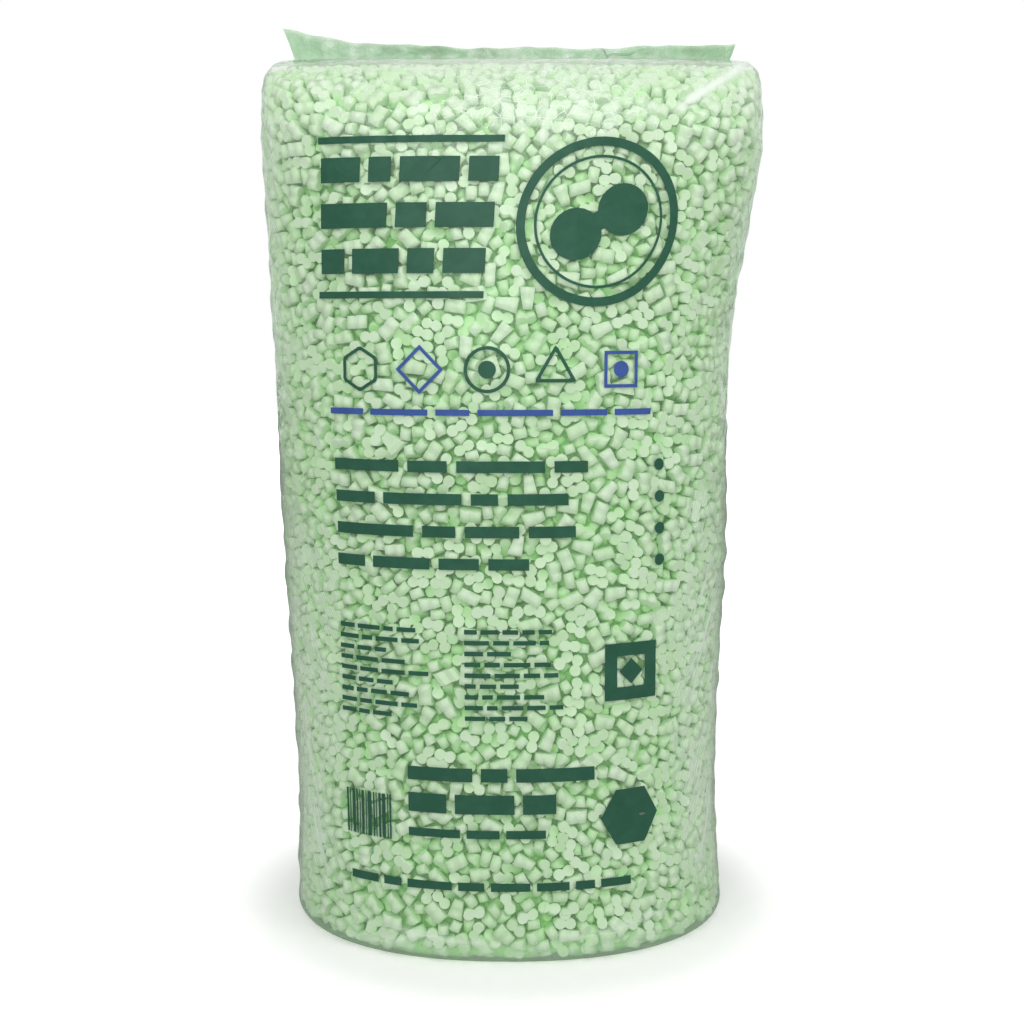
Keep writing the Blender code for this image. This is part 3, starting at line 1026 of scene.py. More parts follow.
@dataclass
class FilmBag:
    """The bag's film: one sheet, closed under the foot, gusseted at the roof and welded into a fin at the top."""

    form: BagForm
    film: bpy.types.Material
    columns: int = 300
    base_rows: int = 6
    foot_rows: int = 8
    body_rows: int = 196
    roof_rows: int = 48
    fin_rows: int = 8
    clearance: float = 0.0006
    slack: float = 0.006
    sag_rounds: int = 14
    probe_out: float = 0.010
    probe_length: float = 0.035
    crumple_lift: float = 0.0020
    gather_lift: float = 0.0016
    fine_lift: float = 0.0003
    fin_half_thickness: float = 0.0009
    sharp_angle: float = 1.1
    pleat_slope: float = 62.0
    # most that the haze and its painted light may add up to
    most_haze_and_painted_light: float = 2.2
    # Each fold's haze is a painted highlight streak along it: the crease at the right shoulder, glints at the front
    # shoulder and bright lines by the foot.
    folds: tuple[Fold, ...] = (
        Fold((0.400, 1.392), (0.225, 1.272), 0.008, 0.0045, 2.0),
        Fold((0.43, 1.30), (0.335, 1.19), 0.005, 0.0022, 0.35),
        Fold((-0.44, 1.335), (-0.33, 1.245), 0.006, 0.0030, 0.35),
        Fold((-0.050, 1.345), (0.000, 1.280), 0.007, 0.0024, 0.8),
        Fold((0.070, 1.340), (0.110, 1.275), 0.007, 0.0026, 0.9),
        Fold((-0.30, 0.062), (0.02, 0.030), 0.005, 0.0030, 0.8),
        Fold((0.30, 0.070), (0.05, 0.034), 0.005, 0.0030, 0.8),
        Fold((-0.12, 0.045), (-0.24, 0.020), 0.005, 0.0020, 0.4),
    )
    grid: Grid = field(init=False)
    outward: Grid = field(init=False)
    levels: Grid = field(init=False)
    girths: Grid = field(init=False)
    path: Grid = field(init=False)

    @property
    def ridge_row(self) -> int:
        """The row of the grid at the ridge."""
        return self.base_rows + self.foot_rows + self.body_rows + self.roof_rows

    def build(self, behind: list[bpy.types.Object]) -> bpy.types.Object:
        """Builds the film over what lies behind it.

        Args:
            behind: The pieces that the film lies against.

        Returns:
            The film.
        """
        self.lay_out()
        marks = self.drape(behind)
        piece = link("bag_film", self.skin(marks), self.film)
        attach(piece, "root")
        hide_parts("film_bag")
        piece.visible_shadow = piece.visible_diffuse = False
        return piece

    def lay_out(self) -> None:
        """Works out the undisturbed film: rows of points, even along the girth, from the middle of the base up."""
        form = self.form
        foot = form.foot_radius * (1 - np.cos(np.pi / 2 * np.arange(self.foot_rows) / self.foot_rows))
        body = np.linspace(form.foot_radius, form.shoulder, self.body_rows, endpoint=False)
        roof = form.shoulder + form.roof_rise * np.sin(np.pi / 2 * np.arange(self.roof_rows + 1) / self.roof_rows)
        levels = [(0.0, share) for share in np.arange(self.base_rows) / self.base_rows]
        levels += [(height, 1.0) for height in np.concatenate([foot, body, roof])]
        rows, girths = map(list, zip(*(self.row(height, share) for height, share in levels)))
        rows += [self.fin_row(step / self.fin_rows) for step in range(1, self.fin_rows + 1)]
        self.grid = np.array(rows)
        self.girths = np.array(girths + [girths[-1]] * self.fin_rows)
        steps = np.linalg.norm(np.diff(self.grid[:, self.columns // 2], axis=0), axis=1)
        path = np.concatenate([[0.0], np.cumsum(steps)])
        self.path = path - path[self.base_rows]
        self.levels = self.grid[:, :, 2].copy()
        self.find_outward()

    def row(self, height: float, share: float) -> tuple[Grid, float]:
        """One row of film.

        Args:
            height: Its height.
            share: 1 for the full section, less for the rows under the base.

        Returns:
            Its points and its girth.
        """
        a, b, n, lean, tuck = (float(v) for v in self.form.sizes(np.float64(height)))
        even, girth = self.space_evenly(self.form.ring(a, b, n, tuck))
        even *= share
        return np.column_stack([even[:, 0] + lean, even[:, 1], np.full(len(even), height)]), girth * max(share, 0.05)

    def fin_row(self, share: float) -> Grid:
        """One row of the fin: both panels and both gussets pressed flat, the corners standing up.

        Args:
            share: How far up the fin it lies, 1 at its edge.

        Returns:
            Its points.
        """
        form = self.form
        a, _, n, lean, tuck = (float(v) for v in form.sizes(np.float64(form.ridge)))
        wide = a + (form.fin_half_width - a) * share
        half_depth = self.fin_half_thickness if share < 1.0 else 1e-9
        even, _ = self.space_evenly(form.ring(wide, half_depth, n, tuck))
        across = np.clip(even[:, 0] / wide, -1, 1)
        lift = np.where(across < 0, form.fin_left_lift, form.fin_right_lift)
        z = form.ridge + share * (form.fin_height + lift * np.abs(across) ** 3)
        left = form.fin_left_flare * share**1.5 * np.clip(-across, 0, 1) ** 6
        right = form.fin_right_flare * share * np.clip(across, 0, 1) ** 6
        x = even[:, 0] + lean - (left - right)
        y = (even[:, 1] if share < 1.0 else 0.0) + share * share * sway(x, form.fin_ripples)
        return np.column_stack([x, y, z + share * sway(x, form.fin_edge_waves)])

    def space_evenly(self, line: Grid) -> tuple[Grid, float]:
        """Divides a closed line into even steps.

        Args:
            line: Its points, one row each.

        Returns:
            The even points, the first one repeated at the end, and the line's length.
        """
        steps = np.linalg.norm(np.diff(line, axis=0), axis=1)
        run = np.concatenate([[0.0], np.cumsum(steps)])
        at = np.linspace(0.0, run[-1], self.columns + 1)
        return np.column_stack([np.interp(at, run, line[:, k]) for k in range(2)]), run[-1]

    def find_outward(self) -> None:
        """Works out the normals of the grid, pointing out of the bag."""
        ring = close_ring(self.grid)
        normal = np.cross(ring[:, 2:] - ring[:, :-2], np.gradient(self.grid, axis=0))
        size = np.linalg.norm(normal, axis=2, keepdims=True)
        down = np.array([0.0, 0.0, -1.0])
        self.outward = np.where(size > 1e-10, normal / np.maximum(size, 1e-10), down)

    def around(self) -> Grid:
        """Distance along the girth from the middle of the front, for each point of the grid, right of it positive."""
        return np.linspace(-0.5, 0.5, self.columns + 1)[None, :] * self.girths[:, None]

    def drape(self, behind: list[bpy.types.Object]) -> dict[str, Grid]:
        """Lets the film sag between the pieces behind it, and draws up its folds.

        Args:
            behind: The pieces that the film lies against.

        Returns:
            At each point of the grid: haze, how milky the film is, with painted highlights and painted light in it;
                painted
            fill light, how much of the fill's green it takes, from 0 to 1; and where it is drawn into pleats and
            crimped creases, which carry painted highlights.
        """
        last, path, levels, u = self.ridge_row, self.path, self.levels, self.around()
        gap = join_near(self.gaps(behind), least)
        sag = np.minimum(gap, self.slack)
        for _ in range(self.sag_rounds):
            sag = np.minimum(join_near(sag, average), gap)
        sag = sag * plateau(path, 0.02, 0.06, path[last - 26], path[last - 4])[:, None]

        side = plateau(np.abs(u), 0.36, 0.46, 0.66, 0.80)
        top = plateau(levels, 1.16, 1.25, 1.36, 1.385)
        roof = smooth_step(path, path[last] - 0.17, path[last] - 0.05)[:, None]
        fin = smooth_step(path, path[last] - 0.012, path[last] + 0.006)[:, None]
        lip = smooth_step(path, path[-1] - 0.005, path[-1] - 0.001)[:, None]
        foot = 1 - smooth_step(levels, 0.010, 0.050)
        pleat, crimp = self.pleat_share(), self.crimp_highlight_share()
        crumple, gather, fine = (
            rumple(self.grid.reshape(-1, 3), lengths, seed).reshape(u.shape)
            for lengths, seed in (((0.06, 0.09, 0.045), 3), ((0.035, 0.12, 0.10), 5), ((0.020, 0.020, 0.020), 6))
        )

        lift = self.crumple_lift * side * np.maximum(crumple, -0.3) + self.gather_lift * top * np.maximum(gather, -0.4)
        lift = smooth_step(levels, 0.02, 0.08) * (lift + self.fine_lift * fine)
        lift *= 1 - smooth_step(path, path[last - 6], path[last])[:, None]
        # Side and roof haze is the film's own; the shoulder's share (top and gather) and the crimp share are painted
        # highlights.
        haze_and_painted_light = side * (0.22 + 0.18 * np.clip(crumple, 0, 1)) + 0.50 * top * np.clip(gather, 0, 1) ** 1.5
        haze_and_painted_light = haze_and_painted_light + roof * (0.26 + 0.24 * gather) + 0.32 * crimp * (1 + 0.6 * gather)
        # Painted fill light: below the shoulder the film takes a mid green that lifts the shade in the gaps and dims
        # the peanuts' tops.
        painted_fill_veil = 0.70 * (1 - smooth_step(levels, 1.08, 1.32)) * (1 - 0.6 * pleat)
        painted_fill_light = np.maximum(np.maximum(0.95 * side, 0.20 * roof), painted_fill_veil)
        # Folds lift the film and paint a highlight along their line.
        for fold in self.folds:
            share = self.along_fold(fold, u)
            lift = lift + fold.height * share
            haze_and_painted_light = haze_and_painted_light + fold.haze_and_painted_light * share
            painted_fill_light = painted_fill_light * (1 - 0.8 * share)
        # The fin's haze is its doubled film and the lip's its weld, while the fin's green is painted fill light; the
        # foot's haze and green are painted light that lightens the shaded band along the foot.
        haze_and_painted_light = haze_and_painted_light + fin * (0.60 + 0.30 * fine) + 0.4 * lip + 0.90 * foot
        painted_fill_light = (painted_fill_light + (0.95 - painted_fill_light) * fin) * (1 - 0.45 * lip)
        painted_fill_light = np.maximum(painted_fill_light, 0.35 * foot)

        self.grid = self.grid + self.outward * (lift - sag)[:, :, None]
        self.grid[:, -1] = self.grid[:, 0]
        self.find_outward()
        haze_and_painted_light, painted_fill_light = np.clip(haze_and_painted_light, 0.0, self.most_haze_and_painted_light), np.clip(painted_fill_light, 0.0, 1.0)
        return {"haze_and_painted_light": haze_and_painted_light, "painted_fill_light": painted_fill_light, "pleat": pleat, "crimp": crimp}

    def gaps(self, behind: list[bpy.types.Object]) -> Grid:
        """Measures how far the film can sink before it meets a piece, at its points and between them.

        Args:
            behind: The pieces that the film lies against.

        Returns:
            The way at each point of the grid, less the clearance.
        """
        vertices: list[list[float]] = []
        polygons: list[list[int]] = []
        for piece in behind:
            start = len(vertices)
            vertices += mesh_points(piece.data).tolist()
            polygons += [[start + i for i in p.vertices] for p in piece.data.polygons]
        tree = BVHTree.FromPolygons(vertices, polygons)
        gap = self.reach(tree, self.grid, self.outward, self.ridge_row + 1)
        middles = (self.grid[1:, 1:] + self.grid[1:, :-1] + self.grid[:-1, 1:] + self.grid[:-1, :-1]) / 4
        between = self.reach(tree, middles, self.outward[:-1, :-1], self.ridge_row)
        for rows in (slice(None, -1), slice(1, None)):
            for columns in (slice(None, -1), slice(1, None)):
                gap[rows, columns] = np.minimum(gap[rows, columns], between)
        gap[:, 0] = gap[:, -1] = np.minimum(gap[:, 0], gap[:, -1])
        return np.clip(gap, -0.004, 0.02)

    def reach(self, tree: BVHTree, places: Grid, outward: Grid, stop: int) -> Grid:
        """Measures how far inward places can move before they meet the tree.

        Args:
            tree: What lies behind the film.
            places: Rows of places.
            outward: The direction out of the bag at each.
            stop: The row to stop before.

        Returns:
            The way at each place, less the clearance, and 0 in the rows left out.
        """
        gap = np.zeros(places.shape[:2])
        for row in range(self.base_rows, stop):
            for column in range(places.shape[1]):
                out = Vector(outward[row, column])
                start = Vector(places[row, column]) + out * self.probe_out
                hit = tree.ray_cast(start, -out, self.probe_length)
                gap[row, column] = (hit[3] if hit[0] else self.probe_length) - self.probe_out - self.clearance
        return gap

    def along_fold(self, fold: Fold, u: Grid) -> Grid:
        """Finds a fold on the grid.

        Args:
            fold: The fold.
            u: Distance along the girth of each point.

        Returns:
            1 on the fold's line, down to 0 a few widths away and past its ends.
        """
        run = np.subtract(fold.end, fold.start)
        length = float(np.linalg.norm(run))
        du, dz = u - fold.start[0], self.levels - fold.start[1]
        t = (du * run[0] + dz * run[1]) / length**2
        off = np.abs(du * run[1] - dz * run[0]) / length
        taper = np.clip(np.minimum(t, 1 - t) / 0.25, 0.0, 1.0)
        return np.exp(-((off / fold.width) ** 2)) * taper

    def pleat_share(self) -> Grid:
        """Finds where the film is drawn into fine slanting pleats, which carry painted highlight lines: both lower
        corners and the right edge.

        Returns:
            From 0 to 1 at each point of the grid.
        """
        u = np.abs(self.around())
        corner = plateau(self.levels, 0.05, 0.16, 0.52, 0.80) * plateau(u, 0.24, 0.36, 0.55, 0.70)
        edge = plateau(self.levels, 0.70, 0.9, 1.10, 1.22) * plateau(u, 0.36, 0.42, 0.50, 0.62)
        return np.clip(corner + 0.45 * edge, 0.0, 1.0)

    def crimp_highlight_share(self) -> Grid:
        """Finds where the film is crimped into small creases that carry painted highlights: the middle of the front
        shoulder, and the fin.

        Returns:
            From 0 to 1 at each point of the grid.
        """
        shoulder = plateau(self.around(), -0.16, -0.02, 0.10, 0.24) * plateau(self.levels, 1.225, 1.285, 1.345, 1.375)
        fin = smooth_step(self.path, self.path[-1] - 0.030, self.path[-1] - 0.010)[:, None]
        return np.clip(shoulder + 0.5 * fin, 0.0, 1.0)

    def skin(self, marks: dict[str, Grid]) -> bpy.types.Mesh:
        """Lays a flat grid over the worked-out points and welds its seam, its foot and its top.

        Args:
            marks: The attributes of the film and their value at each point.

        Returns:
            The film's mesh.
        """
        x_segments, y_segments = self.columns, len(self.grid) - 1
        bm = bmesh.new()
        bmesh.ops.create_grid(bm, x_segments=x_segments, y_segments=y_segments, size=1.0)
        mesh = bpy.data.meshes.new("bag_film")
        bm.to_mesh(mesh)
        flat = mesh_points(mesh)
        column = np.rint((flat[:, 0] + 1) / 2 * x_segments).astype(int)
        row = np.rint((flat[:, 1] + 1) / 2 * y_segments).astype(int)
        mesh.vertices.foreach_set("co", self.grid[row, column].ravel())
        mark(mesh, {name: values[row, column] for name, values in marks.items()})
        corner = np.empty(len(mesh.loops), int)
        mesh.loops.foreach_get("vertex_index", corner)
        u, v = self.around()[row, column], self.path[row]
        slope = np.where(u < 0, 1.0, -1.0) * math.radians(self.pleat_slope)
        along = u * np.cos(slope) - v * np.sin(slope)
        across = u * np.sin(slope) + v * np.cos(slope)
        pleats = mesh.uv_layers.new(name="pleats")
        pleats.data.foreach_set("uv", np.column_stack([along, across])[corner].ravel())
        bm.clear()
        bm.from_mesh(mesh)
        bmesh.ops.remove_doubles(bm, verts=bm.verts[:], dist=1e-6)
        for face in bm.faces:
            face.smooth = True
        for edge in bm.edges:
            edge.smooth = edge.calc_face_angle(0.0) < self.sharp_angle
        bm.to_mesh(mesh)
        bm.free()
        mesh.update()
        return mesh

    def place(self, u: Grid, z: Grid, stand: float) -> Grid:
        """Finds places on the draped film.

        Args:
            u: Distance along the girth from the middle of the front.
            z: Height.
            stand: Distance outside the film.

        Returns:
            The points, one row each.
        """
        height = self.levels[self.base_rows :, self.columns // 2]
        row = np.interp(z, height, np.arange(self.base_rows, self.base_rows + len(height)))
        girth = np.interp(row, np.arange(len(self.girths)), self.girths)
        column = (u / girth + 0.5) * self.columns
        r, c = np.floor(row).astype(int), np.floor(column).astype(int)
        fr, fc = (row - r)[:, None], (column - c)[:, None]

        def read(values: Grid) -> Grid:
            """Reads between the points of the grid.

            Args:
                values: What each point of the grid holds.

            Returns:
                What the places hold, one row each.
            """
            low = values[r, c] * (1 - fc) + values[r, c + 1] * fc
            high = values[r + 1, c] * (1 - fc) + values[r + 1, c + 1] * fc
            return low * (1 - fr) + high * fr

        normal = read(self.outward)
        return read(self.grid) + normal / np.linalg.norm(normal, axis=1, keepdims=True) * stand


def close_ring(values: Grid) -> Grid:
    """A grid that closes on itself along its rows, with the neighbour past its seam added at both ends."""
    return np.concatenate([values[:, -2:-1], values, values[:, 1:2]], axis=1)


def join_near(values: Grid, join: Callable[[Grid, Grid, Grid], Grid]) -> Grid:
    """Joins each value with its neighbours, along the rows and then across them.

    Args:
        values: A grid that closes on itself along its rows.
        join: Makes one value of three.

    Returns:
        The joined values.
    """
    ring = close_ring(values)
    wide = join(ring[:, 2:], ring[:, 1:-1], ring[:, :-2])
    tall = np.concatenate([wide[:1], wide, wide[-1:]], axis=0)
    return join(tall[2:], tall[1:-1], tall[:-2])


def least(after: Grid, own: Grid, before: Grid) -> Grid:
    """The least of three values."""
    return np.minimum(np.minimum(after, own), before)


def average(after: Grid, own: Grid, before: Grid) -> Grid:
    """The middle value evened out with its neighbours."""
    return (after + 2 * own + before) / 4


# Print


class Ink(Enum):
    """The two inks of the print."""

    GREEN = 0
    BLUE = 1


@dataclass
class FilmPrint:
    """A generic print of rings, bars and blocks on the front of the film, in metres from its middle and up."""

    film: FilmBag
    inks: tuple[bpy.types.Material, bpy.types.Material]
    stand: float = 0.0014
    stride: float = 0.005
    bm: bmesh.types.BMesh = field(default_factory=bmesh.new)

    def build(self) -> bpy.types.Object:
        """Draws every shape flat and lays them on the film.

        Returns:
            The print.
        """
        self.title()
        self.icons()
        self.rows()
        self.columns()
        self.foot()
        mesh = bpy.data.meshes.new("film_print")
        self.bm.to_mesh(mesh)
        self.bm.free()
        flat = mesh_points(mesh)
        reshape(mesh, self.film.place(flat[:, 0], flat[:, 1], self.stand))
        piece = link("film_print", mesh, *self.inks)
        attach(piece, "root")
        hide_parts("film_bag")
        return piece

    def shape(self, verts: list[bmesh.types.BMVert], ink: Ink, warp: Warp) -> None:
        """Moves new vertices to their place and gives their faces an ink.

        Args:
            verts: The new vertices.
            ink: Which ink.
            warp: Gives each vertex its place from where it was made.
        """
        for vertex in verts:
            vertex.co = (*warp(vertex.co), 0.0)
        for face in {f for v in verts for f in v.link_faces}:
            face.material_index = ink.value
            if face.normal.z < 0:
                face.normal_flip()

    def bar(
        self, left: float, low: float, width: float, height: float, ink: Ink = Ink.GREEN, rise: float = 0.0
    ) -> None:
        """A straight or slanted bar.

        Args:
            left: Its left end.
            low: Its lower edge.
            width: Its length.
            height: Its thickness.
            ink: Which ink.
            rise: How much its right end is higher.
        """
        x_segments, y_segments = (max(1, round(side / self.stride)) for side in (width, height))
        made = bmesh.ops.create_grid(self.bm, x_segments=x_segments, y_segments=y_segments, size=0.5)

        def warp(at: Vector) -> tuple[float, float]:
            """Stretches the square into the bar."""
            s, t = at.x + 0.5, at.y + 0.5
            return left + width * s, low + height * t + rise * s

        self.shape(made["verts"], ink, warp)

    def ring(
        self,
        u: float,
        z: float,
        radius: float,
        stroke: float,
        ink: Ink = Ink.GREEN,
        corners: int = 64,
        turn: float = 0.0,
    ) -> None:
        """An outline: a ring, or a polygon with few corners.

        Args:
            u: Its middle along the girth.
            z: Its middle's height.
            radius: Its outer radius.
            stroke: The line's thickness.
            ink: Which ink.
            corners: Its corners; 64 make a ring.
            turn: Its turn in degrees.
        """
        outer = bmesh.ops.create_circle(self.bm, segments=self.parts(radius, corners), radius=1.0)["verts"]
        edges = list({e for v in outer for e in v.link_edges})
        made = bmesh.ops.extrude_edge_only(self.bm, edges=edges)["geom"]
        inner = [g for g in made if isinstance(g, bmesh.types.BMVert)]
        for vertex in inner:
            vertex.co *= 1 - stroke / (radius * math.cos(math.pi / corners))
        self.shape(outer + inner, ink, polygon(u, z, radius, corners, turn))

    def disc(
        self, u: float, z: float, radius: float, ink: Ink = Ink.GREEN, corners: int = 24, turn: float = 0.0
    ) -> None:
        """A filled disc or polygon, inset in steps so that it follows the film.

        Args:
            u: Its middle along the girth.
            z: Its middle's height.
            radius: Its radius.
            ink: Which ink.
            corners: Its corners; 24 make a disc.
            turn: Its turn in degrees.
        """
        old = set(self.bm.verts)
        parts = self.parts(radius, corners)
        start = bmesh.ops.create_circle(self.bm, cap_ends=True, segments=parts, radius=1.0)["verts"]
        face = start[0].link_faces[0]
        steps = max(1, int(radius / self.stride))
        for _ in range(steps - 1):
            bmesh.ops.inset_region(self.bm, faces=[face], thickness=1.0 / steps * 0.98)
        bmesh.ops.poke(self.bm, faces=[face])
        new = [v for v in self.bm.verts if v not in old]
        self.shape(new, ink, polygon(u, z, radius, corners, turn))

    def parts(self, radius: float, corners: int) -> int:
        """How many points go around an outline, the same number on each side."""
        return corners * max(1, round(math.tau * radius / corners / self.stride))

    def run(
        self, left: float, low: float, widths: Iterable[float], height: float, gap: float, ink: Ink = Ink.GREEN
    ) -> None:
        """A row of bars with gaps between them.

        Args:
            left: The row's left end.
            low: Its lower edge.
            widths: The length of each bar.
            height: Their thickness.
            gap: The gap after each.
            ink: Which ink.
        """
        for width in widths:
            self.bar(left, low, width, height, ink)
            left += width + gap

    def title(self) -> None:
        """The large motif: a ring with two discs in it, and three bold rows beside it."""
        self.ring(0.135, 1.118, 0.122, 0.013)
        self.ring(0.135, 1.118, 0.096, 0.004)
        self.disc(0.101, 1.100, 0.038)
        self.disc(0.169, 1.136, 0.038)
        self.bar(0.104, 1.090, 0.062, 0.030, rise=0.030)
        self.run(-0.285, 1.176, (0.064, 0.034, 0.088, 0.044), 0.036, 0.013)
        self.run(-0.285, 1.110, (0.108, 0.046, 0.086), 0.036, 0.013)
        self.run(-0.285, 1.044, (0.042, 0.074, 0.040, 0.062), 0.036, 0.013)
        self.bar(-0.290, 1.232, 0.280, 0.010)
        self.bar(-0.290, 1.008, 0.262, 0.010)

    def icons(self) -> None:
        """A row of small outlines and solids, two of them blue."""
        self.ring(-0.215, 0.905, 0.034, 0.005, corners=6, turn=30)
        self.ring(-0.120, 0.905, 0.036, 0.005, Ink.BLUE, corners=4)
        self.ring(-0.020, 0.905, 0.034, 0.005)
        self.disc(-0.020, 0.905, 0.013)
        self.ring(0.080, 0.905, 0.037, 0.005, corners=3, turn=90)
        self.ring(0.180, 0.905, 0.038, 0.005, Ink.BLUE, corners=4, turn=45)
        self.disc(0.180, 0.905, 0.012, Ink.BLUE)
        self.run(-0.270, 0.838, (0.060, 0.090, 0.050, 0.110, 0.070, 0.060), 0.009, 0.012, Ink.BLUE)

    def rows(self) -> None:
        """Four rows of bars, each with a round bullet at its right."""
        rows = (
            (0.110, 0.060, 0.130, 0.050),
            (0.070, 0.120, 0.040, 0.090),
            (0.130, 0.050, 0.080, 0.070),
            (0.050, 0.090, 0.060, 0.060),
        )
        for number, widths in enumerate(rows):
            low = 0.755 - number * 0.048
            self.disc(0.245, low + 0.008, 0.009)
            self.run(-0.265, low, widths, 0.017, 0.014)

    def columns(self) -> None:
        """Two columns of fine rows and a solid block with a window beside them."""
        random = np.random.default_rng(4)
        gap = 0.006
        for left, right in ((-0.265, -0.105), (-0.060, 0.095)):
            for number in range(9):
                widths, at = [], left
                end = right - 0.03 * random.random() - (0.05 if number % 3 == 2 else 0.0)
                while at < end - 0.012:
                    width = min(end - at, 0.014 + 0.026 * random.random())
                    widths.append(width)
                    at += width + gap
                self.run(left, 0.515 - number * 0.0165, widths, 0.0068, gap)
        self.ring(0.196, 0.452, 0.062, 0.020, corners=4, turn=45)
        self.disc(0.196, 0.452, 0.020, corners=4)

    def foot(self) -> None:
        """Striped field, bold rows and a long fine row by the foot."""
        stripes = (0.004, 0.002, 0.006, 0.003, 0.002, 0.005, 0.002, 0.007, 0.003, 0.002, 0.004, 0.006, 0.002, 0.003)
        at = -0.262
        for number, width in enumerate(stripes):
            self.bar(at, 0.190, width, 0.070)
            at += width + (0.003 if number % 2 else 0.002)
        self.run(-0.150, 0.288, (0.100, 0.040, 0.120), 0.021, 0.013)
        self.run(-0.150, 0.238, (0.060, 0.090, 0.050), 0.030, 0.013)
        self.run(-0.150, 0.200, (0.080, 0.050, 0.060), 0.013, 0.010)
        self.disc(0.196, 0.225, 0.050, corners=6)
        self.run(-0.255, 0.118, (0.05, 0.03, 0.07, 0.04, 0.06, 0.05, 0.03, 0.05), 0.013, 0.010)


def polygon(u: float, z: float, radius: float, corners: int, turn: float) -> Warp:
    """Makes a polygon's place from a circle's.

    Args:
        u: Its middle along the girth.
        z: Its middle's height.
        radius: Its radius to the corners.
        corners: How many it has.
        turn: Its turn in degrees.

    Returns:
        Where a point of the unit circle goes.
    """
    angle, sector = math.radians(turn), math.tau / corners

    def warp(at: Vector) -> tuple[float, float]:
        """Flattens the sides between the corners, then turns and sizes the outline.

        Args:
            at: A point of the circle, or of a smaller one in it.

        Returns:
            Its place along the girth and its height.
        """
        bearing = math.atan2(at.y, at.x) % sector - sector / 2
        at = at * (math.cos(sector / 2) / math.cos(bearing))
        x = at.x * math.cos(angle) - at.y * math.sin(angle)
        y = at.x * math.sin(angle) + at.y * math.cos(angle)
        return u + radius * x, z + radius * y

    return warp


# Studio


@dataclass(frozen=True)
class Lamp:
    """A square area lamp that faces a point. Metres and watts."""

    name: str
    place: Triple
    target: Triple
    size: float
    power: float

    def build(self) -> None:
        """Puts the lamp into the scene."""
        data = bpy.data.lights.new(self.name, "AREA")
        data.shape, data.size, data.energy = "SQUARE", self.size, self.power
        lamp = bpy.data.objects.new(self.name, data)
        lamp.location = self.place
        lamp.rotation_euler = (Vector(self.target) - Vector(self.place)).to_track_quat("-Z", "Y").to_euler()
        bpy.context.scene.collection.objects.link(lamp)


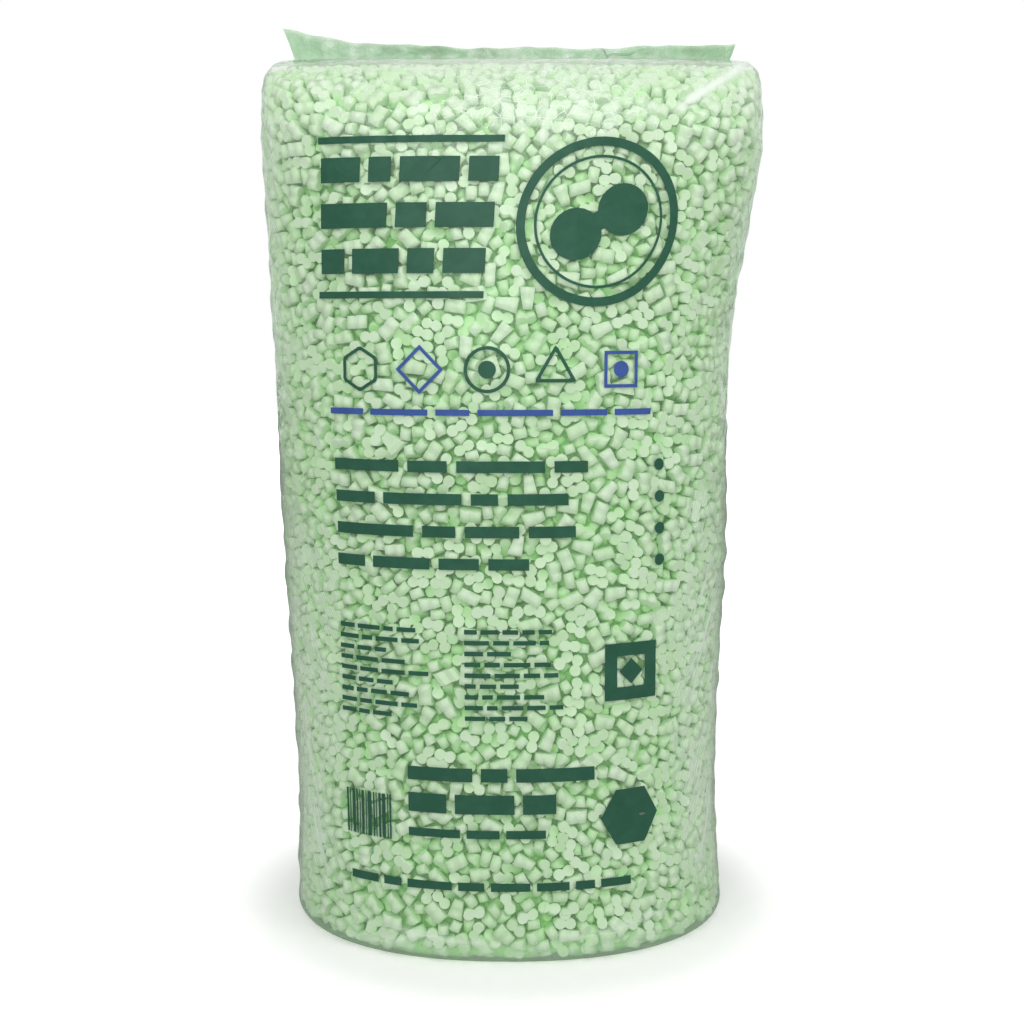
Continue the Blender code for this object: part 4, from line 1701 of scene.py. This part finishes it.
@dataclass(frozen=True)
class Studio:
    """Pale floor and backdrop, soft lamps and the camera."""

    focal_length: float = 54.5
    camera_place: Triple = (0.0, -2.553, 0.974)
    camera_pitch: float = 7.0
    lamps: tuple[Lamp, ...] = (
        Lamp("top_lamp", (0.1, -1.5, 3.4), (0.0, 0.0, 1.0), 1.6, 20.0),
        Lamp("front_lamp", (-0.5, -4.2, 2.2), (0.0, 0.0, 0.85), 2.0, 48.0),
        Lamp("left_lamp", (-2.6, -2.8, 2.7), (0.0, 0.0, 0.7), 1.6, 13.0),
        Lamp("right_lamp", (2.8, -2.4, 2.5), (0.0, 0.0, 0.7), 1.4, 25.0),
    )
    world_strength: float = 0.39
    floor_radius: float = 14.0
    floor_drop: float = 0.0005

    def build(self) -> None:
        """Builds the floor, the lamps, the world and the camera."""
        self.floor()
        for lamp in self.lamps:
            lamp.build()
        self.world()
        self.camera()

    def floor(self) -> None:
        """A wide round floor whose own colour is white to the camera, and which keeps the shadow; its glow is weaker
        near the bag, which paints a darker ring of shade round the foot.
        """
        bm = bmesh.new()
        bmesh.ops.create_circle(bm, cap_ends=True, segments=96, radius=self.floor_radius)
        mesh = bpy.data.meshes.new("studio_floor")
        bm.to_mesh(mesh)
        bm.free()
        made, book, place = new_material("pale_floor")
        speckle = book.remap(book.noise(place, 30.0, 3.0), 0.3, 0.7)
        colour = book.mix(speckle, (0.80, 0.80, 0.80), (0.82, 0.82, 0.82))
        coat = {"Base Color": colour, "Roughness": 0.9, "Specular IOR Level": 0.1}
        diffuse = book.add("ShaderNodeBsdfPrincipled", coat).outputs[0]
        far = book.add("ShaderNodeVectorMath", {0: place}, operation="LENGTH").outputs["Value"]
        # Painted shade: the glow to the camera is weakest near the bag and grows outward.
        near_light, far_light = book.remap(far, 0.36, 0.54, 0.30, 0.66), book.remap(far, 0.64, 4.5, 0.0, 0.50)
        strength = book.math("ADD", near_light, far_light)
        glow = book.add("ShaderNodeEmission", {"Color": WHITE, "Strength": strength}).outputs[0]
        both = book.add("ShaderNodeAddShader", {0: diffuse, 1: glow}).outputs[0]
        seen = book.add("ShaderNodeLightPath").outputs["Is Camera Ray"]
        surface = book.add("ShaderNodeMixShader", {0: seen, 1: diffuse, 2: both})
        book.add("ShaderNodeOutputMaterial", {"Surface": surface.outputs[0]})
        floor = link("studio_floor", mesh, made)
        floor.location = (0.0, 0.0, -self.floor_drop)

    def world(self) -> None:
        """An even white world, full white where the camera sees it."""
        world = bpy.data.worlds.new("studio_world")
        world.use_nodes = True
        book = NodeBook(world.node_tree)
        path = book.add("ShaderNodeLightPath").outputs
        seen = book.math("MAXIMUM", path["Is Camera Ray"], path["Is Glossy Ray"])
        strength = book.math("MAXIMUM", seen, self.world_strength)
        sky = book.add("ShaderNodeBackground", {"Color": WHITE, "Strength": strength})
        book.add("ShaderNodeOutputWorld", {"Surface": sky.outputs[0]})
        bpy.context.scene.world = world

    def camera(self) -> None:
        """The camera, at the photograph's height and distance."""
        data = bpy.data.cameras.new("camera")
        data.lens = self.focal_length
        camera = bpy.data.objects.new("camera", data)
        camera.location = self.camera_place
        camera.rotation_euler = (math.radians(90.0 - self.camera_pitch), 0.0, 0.0)
        bpy.context.scene.collection.objects.link(camera)
        bpy.context.scene.camera = camera


def main() -> None:
    """Builds the bag's pieces in order and reports each."""
    logging.basicConfig(level=logging.INFO, format="%(message)s")
    bpy.context.scene.view_settings.view_transform = "Standard"
    Studio().build()
    log.info("studio built")
    skin, crinkle = foam_skin_group(), film_crinkle_group()
    foam = FoamFinish().material(skin)
    # The heap's finish is painted shade: a saturated green seen through the gaps between the peanuts.
    shade = FoamFinish(
        name="green_fill",
        light=(0.40, 0.86, 0.25),
        dark=(0.32, 0.80, 0.18),
        roughness=0.7,
        bubble_scale=160.0,
        bump_distance=0.003,
    ).material(skin)
    film = FilmFinish().material(crinkle)
    green = InkFinish("green_ink", (0.020, 0.092, 0.053), (0.027, 0.110, 0.066)).material(crinkle)
    blue = InkFinish("blue_ink", (0.040, 0.092, 0.310), (0.052, 0.108, 0.350)).material(crinkle)
    own = [node for name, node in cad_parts.items() if name.startswith("peanut_")]
    for node in own:
        for holder in node.material_slots:
            holder.material = foam
    form = BagForm()
    fill = LooseFill(form, foam, shade).build()
    bag = FilmBag(form, film)
    sheet = bag.build([piece for piece in fill if piece.name.startswith("loose_peanuts")] + own)
    printed = FilmPrint(bag, (green, blue)).build()
    for piece in (*fill, sheet, printed):
        log.info("%s: %d faces", piece.name, len(piece.data.polygons))


if __name__ == "__main__":
    main()
